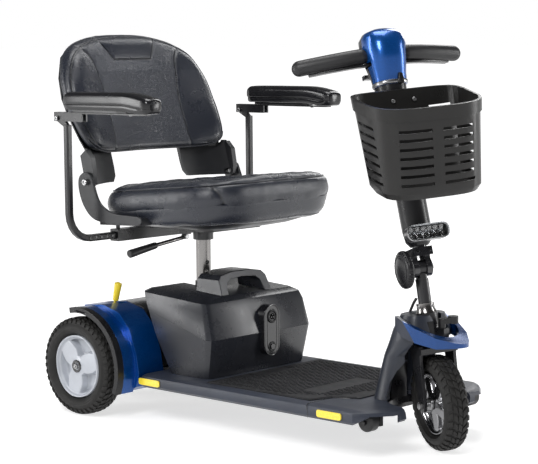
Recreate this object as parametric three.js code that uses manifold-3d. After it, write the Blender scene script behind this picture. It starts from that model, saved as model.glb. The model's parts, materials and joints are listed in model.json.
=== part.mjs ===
// Three-wheel travel mobility scooter, in millimetres, +Z up.
// The rider faces -Y. +X is the rider's left. Ground is z = 0.
// Pieces are drawn with y = 0 at the rear axle, then the whole is centred on its box.
import * as THREE from 'three';
import { mergeVertices } from 'three/addons/utils/BufferGeometryUtils.js';
import Module from 'manifold-3d';

const wasm = await Module();
wasm.setup();

// ---------------------------------------------------------------- driving dimensions
const GAP = 0.3; // between pieces that touch
const REAR_TYRE = { radius: 114, width: 58, outerX: 273.6, rimRadius: 73 };
const FRONT_TYRE = { radius: 101.6, width: 52, rimRadius: 66 };
const REAR_AXLE_Z = 114;
const FRONT_AXLE = { y: -850.8, z: 101.74 };
const STEER = { y: -811.6, z: 295.6, rake: 10, turn: 28 }; // a point on the axis, degrees
const TILLER = { pivotY: -796.35, pivotZ: 382.1, lean: 16.8, forward: 16 };
const BAR = { height: 460, halfSpan: 183, sweep: 41, radius: 14.5 };
const DECK = { halfWidth: 215, rearY: -152, sideFrontY: -790, noseY: -846, low: 78, top: 107 };
const POST = { y: -153, radius: 15.5, low: 150, top: 430 };
const SEAM = { z: 197, y: -343, slope: 0.25 }; // joint plane between battery lid and base
const PACK_WALL = 4;
const SEAT = { halfWidth: 230, rearY: -26, frontY: -420, low: 470, top: 546, tilt: 0.09, middleY: -220 };
const HINGE = { x: 238, y: -23, z: 541 };
const BACK = { low: 602, halfWidth: 239, lean: 0.42, wrap: [36, 20], padThickness: 44, shellThickness: 9 };
const ARM = { x: 298, y: -22, low: 412, top: 674, size: 16, bend: 60, pivotY: 2, pivotZ: 689 };
const ORIGIN_SHIFT_Y = 395.2; // puts the box centre on y = 0

// ---------------------------------------------------------------- materials
const paint = (color, roughness, metalness = 0) =>
  new THREE.MeshStandardMaterial({ color, roughness, metalness });
const BLACK_STEEL = paint(0x17181a, 0.45, 0.6);
const BLACK_PLASTIC = paint(0x1b1c1f, 0.5);
const GREY_PLASTIC = paint(0x3c3f47, 0.5);
const BLUE = paint(0x0b3f9c, 0.2, 0.4);
const RUBBER = paint(0x1c1c1d, 0.85);
const TYRE = paint(0x2a2828, 0.9);
const RIM_GREY = paint(0xc9ccd2, 0.4, 0.1);
const RIM_SILVER = paint(0xb9bcc0, 0.25, 0.8);
const CHROME = paint(0xc4c6c8, 0.15, 1);
const VINYL = paint(0x2a2c31, 0.55);
const GLOSS_BLACK = paint(0x141416, 0.2);
const YELLOW = paint(0xe8c21a, 0.4);
const CLEAR = paint(0xdfe6ee, 0.1);

// ---------------------------------------------------------------- solids
function signedVolume(position, index) {
  const [a, b, c] = [new THREE.Vector3(), new THREE.Vector3(), new THREE.Vector3()];
  let volume = 0;
  for (let i = 0; i < index.length; i += 3) {
    a.fromArray(position, index[i] * 3);
    b.fromArray(position, index[i + 1] * 3);
    c.fromArray(position, index[i + 2] * 3);
    volume += a.dot(b.cross(c)) / 6;
  }
  return volume;
}

// A closed geometry as a manifold solid, faces out.
function solid(geometry) {
  const bare = new THREE.BufferGeometry();
  bare.setAttribute('position', geometry.getAttribute('position').clone());
  if (geometry.index) bare.setIndex(geometry.index.clone());
  const merged = mergeVertices(bare, 1e-4);
  const position = merged.getAttribute('position').array;
  const index = [];
  for (let i = 0; i < merged.index.count; i += 3) {
    const face = [0, 1, 2].map((k) => merged.index.getX(i + k));
    if (new Set(face).size === 3) index.push(...face);
  }
  if (signedVolume(position, index) < 0) index.reverse();
  return new wasm.Manifold(
    new wasm.Mesh({ numProp: 3, vertProperties: position, triVerts: new Uint32Array(index) }),
  );
}

const join = (first, ...rest) => rest.reduce((all, piece) => all.add(piece), first);
const cut = (first, ...rest) => rest.reduce((all, piece) => all.subtract(piece), first);

function geometryOf(piece) {
  const mesh = piece.getMesh();
  const geometry = new THREE.BufferGeometry();
  geometry.setAttribute('position', new THREE.BufferAttribute(mesh.vertProperties, 3));
  geometry.setIndex(new THREE.BufferAttribute(mesh.triVerts, 1));
  geometry.computeVertexNormals();
  return geometry;
}

function box(x0, x1, y0, y1, z0, z1) {
  const geometry = new THREE.BoxGeometry(x1 - x0, y1 - y0, z1 - z0);
  return solid(geometry.translate((x0 + x1) / 2, (y0 + y1) / 2, (z0 + z1) / 2));
}

// A cylinder or cone between two points.
function rod(from, to, radius, sides = 20, endRadius = radius) {
  const [a, b] = [new THREE.Vector3(...from), new THREE.Vector3(...to)];
  const geometry = new THREE.CylinderGeometry(endRadius, radius, a.distanceTo(b), sides);
  const turn = new THREE.Quaternion().setFromUnitVectors(
    new THREE.Vector3(0, 1, 0),
    b.clone().sub(a).normalize(),
  );
  geometry.applyQuaternion(turn);
  return solid(geometry.translate(...a.add(b).multiplyScalar(0.5)));
}

// A profile of [radius, height] pairs turned about the X axis.
function turnedX(profile, sides, x, y, z) {
  const points = profile.map(([r, h]) => new THREE.Vector2(r, h));
  const geometry = new THREE.LatheGeometry(points, sides);
  return solid(geometry.rotateZ(-Math.PI / 2).translate(x, y, z));
}

// The same, turned about an axis in the YZ plane that leans back by some degrees.
function turnedLeaning(profile, sides, lean, y, z) {
  const points = profile.map(([r, h]) => new THREE.Vector2(r, h));
  const geometry = new THREE.LatheGeometry(points, sides);
  geometry.rotateX(Math.PI / 2 - THREE.MathUtils.degToRad(lean));
  return solid(geometry.translate(0, y, z));
}

const outline = (points) => new THREE.Shape(points.map(([x, y]) => new THREE.Vector2(x, y)));

function extruded(shape, depth, bevel = 0) {
  return new THREE.ExtrudeGeometry(shape, {
    depth: depth - 2 * bevel,
    curveSegments: 3,
    bevelEnabled: bevel > 0,
    bevelSize: bevel,
    bevelThickness: bevel,
    bevelOffset: -bevel,
    bevelSegments: 1,
  }).translate(0, 0, bevel);
}

// Outlines drawn in the YZ, XZ and XY planes.
function prismX(shape, x0, x1, bevel = 0) {
  const axes = new THREE.Matrix4().makeBasis(
    new THREE.Vector3(0, 1, 0),
    new THREE.Vector3(0, 0, 1),
    new THREE.Vector3(1, 0, 0),
  );
  return solid(extruded(shape, x1 - x0, bevel).applyMatrix4(axes).translate(x0, 0, 0));
}

function prismY(shape, y0, y1, bevel = 0) {
  const axes = new THREE.Matrix4().makeBasis(
    new THREE.Vector3(1, 0, 0),
    new THREE.Vector3(0, 0, 1),
    new THREE.Vector3(0, -1, 0),
  );
  return solid(extruded(shape, y1 - y0, bevel).applyMatrix4(axes).translate(0, y1, 0));
}

function prismZ(shape, z0, z1, bevel = 0) {
  return solid(extruded(shape, z1 - z0, bevel).translate(0, 0, z0));
}

function roundedRect(x0, x1, y0, y1, r) {
  const shape = new THREE.Shape();
  shape.moveTo(x0 + r, y0);
  shape.lineTo(x1 - r, y0);
  shape.absarc(x1 - r, y0 + r, r, -Math.PI / 2, 0);
  shape.lineTo(x1, y1 - r);
  shape.absarc(x1 - r, y1 - r, r, 0, Math.PI / 2);
  shape.lineTo(x0 + r, y1);
  shape.absarc(x0 + r, y1 - r, r, Math.PI / 2, Math.PI);
  shape.lineTo(x0, y0 + r);
  shape.absarc(x0 + r, y0 + r, r, Math.PI, Math.PI * 1.5);
  return shape;
}

// A skin over rings of points, closed by a flat face at each end.
function loft(rings) {
  const count = rings[0].length;
  const index = [];
  for (let r = 0; r + 1 < rings.length; r++) {
    for (let i = 0; i < count; i++) {
      const a = r * count + i;
      const b = r * count + ((i + 1) % count);
      index.push(a, b, b + count, a, b + count, a + count);
    }
  }
  const last = (rings.length - 1) * count;
  for (const [a, b, c] of capFaces(rings[0])) index.push(a, c, b);
  for (const [a, b, c] of capFaces(rings.at(-1))) index.push(last + a, last + b, last + c);
  const geometry = new THREE.BufferGeometry();
  geometry.setAttribute('position', new THREE.Float32BufferAttribute(rings.flat(2), 3));
  geometry.setIndex(index);
  return solid(geometry);
}

function capFaces(ring) {
  const points = ring.map((p) => new THREE.Vector3(...p));
  const normal = new THREE.Vector3();
  points.forEach((p, i) => normal.add(p.clone().cross(points[(i + 1) % points.length])));
  normal.normalize();
  const u = points[1].clone().sub(points[0]).projectOnPlane(normal).normalize();
  const v = normal.clone().cross(u);
  const flat = points.map((p) => new THREE.Vector2(p.dot(u), p.dot(v)));
  const area = (a, b, c) => (b.x - a.x) * (c.y - a.y) - (b.y - a.y) * (c.x - a.x);
  return THREE.ShapeUtils.triangulateShape(flat, []).map(([a, b, c]) =>
    area(flat[a], flat[b], flat[c]) > 0 ? [a, b, c] : [a, c, b],
  );
}

// A section of [across, out] points carried along a flat path; side is the path's normal.
function sweep(points, side, section) {
  const normal = new THREE.Vector3(...side);
  const path = points.map((p) => new THREE.Vector3(...p));
  const rings = path.map((p, i) => {
    const before = path[Math.max(i - 1, 0)];
    const after = path[Math.min(i + 1, path.length - 1)];
    const out = normal.clone().cross(after.clone().sub(before).normalize());
    return section.map(([a, b]) =>
      p.clone().addScaledVector(normal, a).addScaledVector(out, b).toArray(),
    );
  });
  return loft(rings);
}

const circle = (radius, sides) =>
  Array.from({ length: sides }, (_, i) => {
    const angle = ((i + 0.5) / sides) * Math.PI * 2;
    return [radius * Math.cos(angle), radius * Math.sin(angle)];
  });

// A squared-off oval ring at one height: wide in X, reaching from one Y to another.
function ovalRing(halfWidth, rearY, frontY, z, power = 3, sides = 28) {
  const middle = (rearY + frontY) / 2;
  const half = (rearY - frontY) / 2;
  const bend = (value) => Math.sign(value) * Math.abs(value) ** (2 / power);
  return Array.from({ length: sides }, (_, i) => {
    const angle = ((i + 0.5) / sides) * Math.PI * 2;
    return [halfWidth * bend(Math.cos(angle)), middle + half * bend(Math.sin(angle)), z];
  });
}

const mirrored = (shape) => shape.map(([x, ...rest]) => [-x, ...rest]);

// ---------------------------------------------------------------- assembly tree
const scooter = new THREE.Group();
scooter.position.y = ORIGIN_SHIFT_Y;

const steered = new THREE.Group(); // turns about the raked steering axis
const steerRake = THREE.MathUtils.degToRad(STEER.rake);
steered.position.set(0, STEER.y, STEER.z);
steered.quaternion.setFromAxisAngle(
  new THREE.Vector3(0, Math.sin(steerRake), Math.cos(steerRake)),
  -THREE.MathUtils.degToRad(STEER.turn),
);
const steeredParts = new THREE.Group();
steeredParts.position.set(0, -STEER.y, -STEER.z);
steered.add(steeredParts);
scooter.add(steered);

const tiller = new THREE.Group(); // z runs up the tiller, -y is forward
tiller.position.set(0, TILLER.pivotY, TILLER.pivotZ);
tiller.rotation.x = -THREE.MathUtils.degToRad(TILLER.lean);
steeredParts.add(tiller);
const mast = new THREE.Group(); // the tiller's cover, head and load stand ahead of its pivot
mast.position.y = -TILLER.forward;
tiller.add(mast);

function place(group, name, piece, material) {
  const mesh = new THREE.Mesh(geometryOf(piece), material);
  mesh.name = name;
  group.add(mesh);
}

// A point on the steering axis, some way up it from the top of the head tube.
function onSteerAxis(s, x = 0) {
  return [x, STEER.y + s * Math.sin(steerRake), STEER.z + s * Math.cos(steerRake)];
}

// ---------------------------------------------------------------- chassis
const TIP = { x: 172, y: -798, z: 81.5, radius: 20.5 }; // front anti-tip wheels
const HEAD = { low: -62, high: -8, radius: 24, bore: 14.7 };
const RAIL_X = 110;
const RAIL_TOP = 97;
const RAIL_LOW = 74;

function mainFrame() {
  const rails = [-1, 1].map((s) => box(s * RAIL_X - 12, s * RAIL_X + 12, -738, 92, RAIL_LOW, RAIL_TOP));
  const cross = [-738, -420, -178, -100].map((y) => box(-122, 122, y, y + 24, RAIL_LOW, RAIL_TOP));
  const gooseneck = sweep(
    [[0, -733, 78], [0, -733, 150], [0, -738, 200], [0, -754, 236], [0, -806, 262]],
    [1, 0, 0],
    [[-26, -7], [26, -7], [26, 7], [-26, 7]],
  );
  const head = rod(onSteerAxis(HEAD.low), onSteerAxis(HEAD.high), HEAD.radius, 24);
  const bore = rod(onSteerAxis(HEAD.low - 9), onSteerAxis(HEAD.high + 9), HEAD.bore, 24);
  const socket = rod([0, POST.y, 90], [0, POST.y, 300], 20.5, 24);
  const socketBore = rod([0, POST.y, 130], [0, POST.y, 310], POST.radius + 0.5, 24);
  const nose = box(-152, 152, -790, -730, 84, RAIL_TOP);
  const noseArms = [-1, 1].map((s) => box(s * 148 - 5, s * 148 + 5, -812, -780, 70, RAIL_TOP));
  const wheelRoom = wheelSweep(3);
  const tipBar = box(-122, 122, 84, 100, 60, RAIL_TOP);
  const tipForks = [-1, 1].map((s) => box(s * 72 - 4, s * 72 + 4, 96, 148, 34, 84));
  const whole = join(rails[0], rails[1], ...cross, gooseneck, head, socket, nose);
  const nosed = join(cut(whole, wheelRoom), ...noseArms, tipBar, ...tipForks);
  const pins = [-1, 1].map((s) => rod([s * 140, TIP.y, TIP.z], [s * 190, TIP.y, TIP.z], 4, 12));
  const lockLug = box(-9, 9, -866, -832, 242, 260);
  const tipPin = rod([-74, 134, 46], [74, 134, 46], 4, 12);
  return cut(join(nosed, ...pins, tipPin, lockLug), bore, socketBore);
}

// The room that the steered front wheel needs, turned about the steering axis.
function wheelSweep(clearance) {
  const reach = FRONT_TYRE.radius + clearance;
  const axleS = (FRONT_AXLE.z - STEER.z) / Math.cos(steerRake);
  const half = FRONT_TYRE.width / 2;
  const profile = [[0, axleS - reach]];
  for (let i = 1; i < 12; i++) {
    const angle = -Math.PI / 2 + (i / 12) * Math.PI;
    profile.push([Math.hypot(reach * Math.cos(angle), half), axleS + reach * Math.sin(angle)]);
  }
  profile.push([0, axleS + reach]);
  return turnedLeaning(profile, 32, STEER.rake, STEER.y, STEER.z);
}

const MAT = { low: 105, top: 109 };

function deckOutline(inset) {
  const w = DECK.halfWidth - inset;
  const rear = DECK.rearY - inset;
  const half = [
    [w - 10, rear],
    [w, rear - 10],
    [w, DECK.sideFrontY + inset * 0.6],
    [w - 14, DECK.sideFrontY - 18 + inset],
    [150 - inset, DECK.noseY + inset * 1.2],
  ];
  return [...half, ...mirrored(half).reverse()];
}

function deckPanel() {
  const layers = [[6, DECK.low], [0, 84], [0, 96], [3, 103], [10, DECK.top]];
  const outer = loft(layers.map(([inset, z]) => deckOutline(inset).map(([x, y]) => [x, y, z])));
  const under = prismZ(outline(deckOutline(7)), 60, 99.5);
  const railWay = box(-RAIL_X - 18, RAIL_X + 18, DECK.rearY - 12, DECK.rearY + 12, 60, 99.5);
  const matBed = prismZ(outline(matOutline(-1.5)), MAT.low, 120);
  const forWheel = wheelSweep(7);
  const forNeck = box(-32, 32, -746, -712, 60, 120);
  const forTip = [-1, 1].map((s) => rod([s * 154, TIP.y, TIP.z], [s * 190, TIP.y, TIP.z], 23, 24));
  const nearPost = rod([0, POST.y, 60], [0, POST.y, 130], 23, 20);
  const slant = outline([[-784, 60], [-784, 77], [-816, 96], [-860, 96], [-860, 60]]);
  const cutaways = [-1, 1].map((s) => prismX(slant, ...[s * 128, s * 230].sort(byValue)));
  return cut(outer, under, railWay, matBed, forWheel, forNeck, ...forTip, ...cutaways, nearPost);
}

function matOutline(inset) {
  const half = [
    [186 - inset, -346 - inset],
    [186 - inset, -648 + inset],
    [132 - inset, -664 + inset],
    [104 - inset, -716 + inset],
  ];
  return [...half, ...mirrored(half).reverse()];
}

function footMat() {
  const [half, rear, front] = SHROUD_RINGS[0];
  const shroudRoom = loft([100, 130].map((z) => ovalRing(half + 2, rear + 2, front, z, 2.6)));
  return cut(prismZ(outline(matOutline(0)), MAT.low + GAP, MAT.top), shroudRoom);
}

const SHROUD_RINGS = [
  // half width, rear y, front y, height
  [84, -714, -804, DECK.top + 0.6],
  [74, -722, -800, 150],
  [68, -734, -806, 200],
  [68, -743, -850, 230],
  [66, -753, -850, 256],
  [54, -769, -838, 287],
];

function frontShroud() {
  const body = loft(SHROUD_RINGS.map(([w, rear, front, z]) => ovalRing(w, rear, front, z, 2.6)));
  const neckRoom = prismX(
    outline([[-723, 100], [-725, 152], [-729, 204], [-744, 246], [-790, 275], [-860, 275], [-860, 100]]),
    -32,
    32,
  );
  const headRoom = rod(onSteerAxis(-90), onSteerAxis(40), 30, 28);
  const crownRoom = rod(onSteerAxis(-100), onSteerAxis(HEAD.low + 1), 62, 28);
  const cableHole = rod([0, -762, 270], [0, -776, 300], 5, 12);
  return cut(body, wheelSweep(7), neckRoom, headRoom, crownRoom, cableHole);
}

// The blue cowl: a plan outline and a side outline, one cut by the other.
function frontFin() {
  const half = [[62, -778], [74, -806], [72, -838], [54, -878], [22, -908], [8, -915]];
  const plan = prismZ(outline([...half, ...mirrored(half).reverse()]), 200, 320);
  const side = prismX(
    outline([
      [-772, 286], [-806, 279], [-846, 262], [-880, 246], [-918, 232],
      [-918, 225], [-880, 224], [-846, 233], [-806, 244], [-772, 262],
    ]),
    -90,
    90,
  );
  const shroudRoom = loft(
    SHROUD_RINGS.slice(2).map(([w, rear, front, z]) => ovalRing(w + 0.4, rear, front, z, 2.6)),
  );
  const headRoom = rod(onSteerAxis(-100), onSteerAxis(40), 62, 28);
  return cut(plan.intersect(side), shroudRoom, headRoom);
}

const ARCH = { inner: 124, skin: 130, lip: 137, innerX: 128, bodyX: 208, lipX: 243, outerX: 262 };
const ARCH_FROM = -12;
const ARCH_TO = 113; // degrees from straight up, towards the front

// Points on a circle about the rear axle, from one angle to another.
function archArc(radius, from, to, steps = 14) {
  return Array.from({ length: steps + 1 }, (_, i) => {
    const angle = THREE.MathUtils.degToRad(from + ((to - from) * i) / steps);
    return [-radius * Math.sin(angle), REAR_AXLE_Z + radius * Math.cos(angle)];
  });
}

const archBand = (r0, r1) =>
  outline([...archArc(r0, ARCH_FROM, ARCH_TO), ...archArc(r1, ARCH_TO, ARCH_FROM)]);

function rearBody() {
  const cover = prismX(
    outline([
      [-96, 100], [-92, 236], [-76, 246], [-40, 250], [30, 246], [76, 222],
      [98, 172], [104, 100],
    ]),
    -ARCH.innerX - 2,
    ARCH.innerX + 2,
  );
  const inside = prismX(
    outline([
      [-90, 90], [-87, 232], [-72, 240], [-40, 244], [28, 240], [71, 217],
      [92, 168], [97, 90],
    ]),
    -ARCH.innerX + 4,
    ARCH.innerX - 4,
  );
  const axleRoom = rod([-150, 0, REAR_AXLE_Z], [150, 0, REAR_AXLE_Z], 30, 20);
  const wings = [-1, 1].flatMap((s) => [
    prismX(archBand(ARCH.inner, ARCH.skin), ...[s * ARCH.innerX, s * ARCH.outerX].sort(byValue)),
    prismX(archBand(ARCH.inner, ARCH.lip), ...[s * ARCH.lipX, s * ARCH.outerX].sort(byValue)),
  ]);
  return cut(join(cut(cover, inside, axleRoom), ...wings), leverSlot());
}

const byValue = (a, b) => a - b;
const leverSlot = () => box(-162, -138, -36, 18, 200, 300);

function fender(side) {
  const skin = ARCH.skin + GAP;
  const shell = outline([
    ...archArc(skin, ARCH_FROM, ARCH_TO),
    [-138, 74], [-148, 104], [-140, 150], [-118, 206], [-84, 240], [-30, 254], [36, 248],
  ]);
  const from = side * (ARCH.innerX + 2 + GAP);
  const to = side * ARCH.bodyX;
  const brow = side * (ARCH.lipX - GAP);
  const body = join(
    prismX(shell, ...[from, to].sort(byValue)),
    prismX(archBand(skin, ARCH.lip - 1), ...[to - side * 2, brow].sort(byValue)),
  );
  return side < 0 ? cut(body, leverSlot()) : body;
}

// Motor, gearbox and axle tube on two feet.
function transaxle() {
  const tube = rod([-88, 0, REAR_AXLE_Z], [88, 0, REAR_AXLE_Z], 27, 24);
  const gearbox = rod([10, 0, REAR_AXLE_Z], [70, 0, REAR_AXLE_Z], 52, 28);
  const motor = rod([-60, 34, 158], [20, 34, 158], 34, 24);
  const web = box(-20, 30, -10, 50, 110, 170);
  const feet = [-1, 1].map((s) => box(s * 98 - 14, s * 98 + 14, -20, 20, RAIL_TOP + GAP, 130));
  const bore = rod([-130, 0, REAR_AXLE_Z], [130, 0, REAR_AXLE_Z], 10.6, 20);
  return cut(join(tube, gearbox, motor, web, ...feet), bore);
}

function reflector(side, y) {
  const face = side * (DECK.halfWidth + GAP);
  const span = [face, face + side * 3].sort(byValue);
  return prismX(roundedRect(y - 33, y + 33, 85, 100, 5), ...span);
}

const tillerCable = () =>
  sweep([[0, -764, 270], [0, -771, 290], [0, -778, 304], [0, -786, 316]], [1, 0, 0], circle(3, 8));

place(scooter, 'main_frame', mainFrame(), BLACK_STEEL);
place(scooter, 'deck_panel', deckPanel(), GREY_PLASTIC);
place(scooter, 'foot_mat', footMat(), RUBBER);
place(scooter, 'front_shroud', frontShroud(), GREY_PLASTIC);
place(scooter, 'front_fin', frontFin(), BLUE);
place(scooter, 'rear_body', rearBody(), BLACK_PLASTIC);
place(scooter, 'fender_right', fender(-1), BLUE);
place(scooter, 'fender_left', fender(1), BLUE);
place(scooter, 'transaxle', transaxle(), BLACK_STEEL);
place(scooter, 'tiller_cable', tillerCable(), RUBBER);
for (const [side, name] of [[-1, 'right'], [1, 'left']]) {
  place(scooter, `reflector_front_${name}`, reflector(side, -728), YELLOW);
  place(scooter, `reflector_rear_${name}`, reflector(side, -191), YELLOW);
}

// ---------------------------------------------------------------- levers and small wheels
function lockLever() {
  const hub = rod([0, -854, 260 + GAP], [0, -854, 280], 8, 16);
  const arm = sweep(
    [[0, -854, 274], [9, -862, 276], [20, -868, 277]],
    [0, 0, 1],
    [[-6, -7], [6, -7], [6, 7], [-6, 7]],
  );
  return join(hub, arm, rod([20, -868, 269], [20, -868, 285], 11, 20));
}

const FREEWHEEL = { x: -150, lowY: -9, lowZ: 256, topY: -20, topZ: 297 };

function freewheelLever() {
  const { x, lowY, lowZ, topY, topZ } = FREEWHEEL;
  const grip = rod([x, lowY, lowZ], [x, topY, topZ], 7, 16, 9);
  const stem = rod([x, lowY + 8, 228], [x, lowY - 2, lowZ + 8], 3.5, 12);
  return join(grip, stem, rod([x - 6, lowY + 7, 229], [x + 6, lowY + 7, 229], 6, 16));
}

const tipWheelProfile = (radius, width, bore) => [
  [bore, -width / 2], [radius - 4, -width / 2], [radius, -width / 2 + 4],
  [radius, width / 2 - 4], [radius - 4, width / 2], [bore, width / 2], [bore, -width / 2],
];

const frontTipWheel = (side) =>
  turnedX(tipWheelProfile(TIP.radius, 28, 4.6), 28, side * TIP.x, TIP.y, TIP.z);
const rearTipWheels = () => turnedX(tipWheelProfile(22, 120, 4.6), 24, 0, 134, 46);

place(scooter, 'lock_lever', lockLever(), BLACK_PLASTIC);
place(scooter, 'freewheel_lever', freewheelLever(), YELLOW);
place(scooter, 'anti_tip_wheel_right', frontTipWheel(-1), RUBBER);
place(scooter, 'anti_tip_wheel_left', frontTipWheel(1), RUBBER);
place(scooter, 'anti_tip_roller_rear', rearTipWheels(), RUBBER);

// ---------------------------------------------------------------- road wheels
function tyreProfile({ radius, width, rimRadius }) {
  const w = width / 2;
  return [
    [rimRadius + GAP, -w + 12], [rimRadius + 8, -w + 3], [radius - 22, -w],
    [radius - 8, -w + 2], [radius - 2, -w + 9], [radius, -6], [radius, 6],
    [radius - 2, w - 9], [radius - 8, w - 2], [radius - 22, w], [rimRadius + 8, w - 3],
    [rimRadius + GAP, w - 12], [rimRadius + GAP, -w + 12],
  ];
}

// A rim with broad spokes: out is the side that the spokes face.
function rim({ radius, width, spokes, hub, bore, out, turn }) {
  const w = width / 2;
  const ring = turnedX(
    [[radius - 7, -w], [radius, -w], [radius, w], [radius - 7, w], [radius - 7, -w]],
    40, 0, 0, 0,
  );
  const disc = rod([out * (w - 30), 0, 0], [out * (w - 4), 0, 0], radius - 4, 40);
  const step = (Math.PI * 2) / spokes;
  const pockets = Array.from({ length: spokes }, (_, i) => {
    const middle = THREE.MathUtils.degToRad(turn) + i * step;
    const spread = step * 0.27;
    const at = (r, a) => [r * Math.cos(a), r * Math.sin(a)];
    const pocket = outline([
      at(hub + 9, middle),
      at(radius - 8, middle - spread * 1.15),
      at(radius - 6, middle),
      at(radius - 8, middle + spread * 1.15),
    ]);
    return prismX(pocket, -w - 2, w + 2);
  });
  const hubBarrel = rod([-w + 2, 0, 0], [w - 1, 0, 0], hub, 24);
  return cut(join(cut(disc, ...pockets), ring, hubBarrel), rod([-w - 5, 0, 0], [w + 5, 0, 0], bore, 20));
}

function rearRim(side) {
  const width = 50;
  const middle = side * (REAR_TYRE.outerX - 5 - width / 2);
  const wheel = rim({
    radius: REAR_TYRE.rimRadius, width, spokes: 3, hub: 15, bore: 5, out: side, turn: 90 - 15 * side,
  });
  const shaft = rod([side * 24, 0, 0], [-side * (Math.abs(middle) - 16), 0, 0], 10, 20);
  const nut = rod([side * 20, 0, 0], [side * 28, 0, 0], 8, 6);
  const whole = join(wheel, shaft, nut);
  return whole.translate([middle, 0, REAR_AXLE_Z]);
}

function rearTyre(side) {
  return turnedX(tyreProfile(REAR_TYRE), 36, side * (REAR_TYRE.outerX - REAR_TYRE.width / 2), 0, REAR_AXLE_Z);
}

for (const [side, name] of [[-1, 'right'], [1, 'left']]) {
  place(scooter, `tyre_${name}`, rearTyre(side), TYRE);
  place(scooter, `rim_${name}`, rearRim(side), RIM_GREY);
}

// ---------------------------------------------------------------- battery pack
const PACK_RINGS = [
  // half width, rear y, front y, height
  [161, -190, -326, DECK.top + GAP],
  [168, -146, -343, SEAM.z],
  [164, -112, -327, 258],
  [160, -104, -318, 275],
  [148, -114, -304, 282],
];

const PACK_RISE = 0.06; // the lid climbs towards the rear, from this far ahead of the axle
const PACK_FRONT = 318;

// The pack's outer shape, grown or shrunk by some distance.
function packShape(grow) {
  const corner = 16;
  const rings = PACK_RINGS.map(([w, rear, front, z], i) => {
    const [x, y0, y1] = [w + grow, front - grow, rear + grow];
    const level = i === 0 ? z - grow : z + (i > 2 ? grow : 0);
    const c = corner + grow * 0.6;
    const half = [[x - c, y0], [x - c * 0.3, y0 + c * 0.3], [x, y0 + c], [x, y1 - c], [x - c, y1]];
    const rise = i > 1 ? PACK_RISE : 0;
    const ring = [...half, ...mirrored(half).reverse()];
    return ring.map(([px, py]) => [px, py, level + rise * (py + PACK_FRONT)]);
  });
  return loft(rings);
}

// Everything above the slanted seam.
function aboveSeam(offset) {
  const at = (y) => SEAM.z + Math.max(y - SEAM.y, 0) * SEAM.slope + offset;
  return prismX(
    outline([[-400, at(-400)], [-322, at(-343)], [-60, at(-60)], [-60, 400], [-400, 400]]),
    -300,
    300,
  );
}

const postNotch = () => prismZ(outline([[-27, -60], [-27, -184], [27, -184], [27, -60]]), 60, 400);
const notchWall = () => prismZ(outline([[-31, -60], [-31, -188], [31, -188], [31, -60]]), 60, 400);

function packShell() {
  return cut(packShape(0), cut(packShape(-PACK_WALL), notchWall()), postNotch());
}

const portOutline = (grow) => roundedRect(-6 - grow, 46 + grow, 142 - grow, 258 + grow, 24);

function batteryBase() {
  const screws = rod([20, -360, 160], [20, -330, 160], 11, 16);
  return cut(packShell(), aboveSeam(-GAP / 2), screws);
}

function batteryLid() {
  return packShell().intersect(aboveSeam(GAP / 2));
}

function batteryHandle() {
  const arch = outline([
    [-84, 270], [-78, 318], [-68, 328], [-30, 334], [30, 334], [68, 328], [78, 318], [84, 270],
    [64, 270], [54, 308], [42, 317], [0, 320], [-42, 317], [-54, 308], [-64, 270],
  ]);
  const lean = prismX(
    outline([[-300, 270], [-272, 335], [-268, 345], [-212, 345], [-206, 270]]), -100, 100,
  );
  return cut(prismY(arch, -310, -200).intersect(lean), packShape(GAP));
}

function portPlate() {
  const plate = prismY(portOutline(0), -352, -300);
  const button = rod([20, -360, 162], [20, -290, 162], 7.6, 20);
  const socket = rod([20, -360, 232], [20, -337, 232], 13, 24);
  return cut(plate, packShape(GAP), button, socket);
}

function batteryCells() {
  const blocks = [-1, 1].map((s) => box(s * 84 - 46, s * 84 + 46, -308, -206, 114, 180));
  return join(...blocks, box(-60, 60, -290, -260, 160, 170));
}

const breakerButton = () => rod([20, -346, 162], [20, -356, 162], 7, 20);

place(scooter, 'battery_base', batteryBase(), BLACK_PLASTIC);
place(scooter, 'battery_lid', batteryLid(), BLACK_PLASTIC);
place(scooter, 'battery_handle', batteryHandle(), BLACK_PLASTIC);
place(scooter, 'port_plate', portPlate(), GLOSS_BLACK);
place(scooter, 'battery_cells', batteryCells(), GREY_PLASTIC);
place(scooter, 'breaker_button', breakerButton(), BLACK_PLASTIC);

// ---------------------------------------------------------------- seat
const RECEIVER = { y: ARM.y, z: ARM.low, outer: 14, inner: ARM.size / 2 + 0.6, endX: 162 };

const seatPost = () => rod([0, POST.y, POST.low], [0, POST.y, POST.top], POST.radius, 24);

function swivelPlate() {
  const plate = prismZ(roundedRect(-92, 92, -262, 12, 18), 427, 435);
  const hub = rod([0, POST.y, 398], [0, POST.y, 431], 24, 24);
  const hubBore = rod([0, POST.y, 380], [0, POST.y, POST.top + 2], POST.radius + 0.5, 24);
  const { y, z, outer, inner, endX } = RECEIVER;
  const tube = box(-endX, endX, y - outer, y + outer, z - outer, z + outer);
  const hole = box(-endX - 5, endX + 5, y - inner, y + inner, z - inner, z + inner);
  const web = box(-80, 80, y - outer, y + outer, z + outer - 1, 428);
  const bolts = [-1, 1].map((s) => rod([s * 150, y, z + outer - 1], [s * 150, y, z + 26], 5, 12));
  const lug = box(-74, -58, -172, -148, 416, 428);
  return cut(join(plate, hub, tube, web, lug, ...bolts), hubBore, hole);
}

const hingePin = (s, from, to, radius) =>
  rod([s * from, HINGE.y, HINGE.z], [s * to, HINGE.y, HINGE.z], radius, 16);

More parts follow.
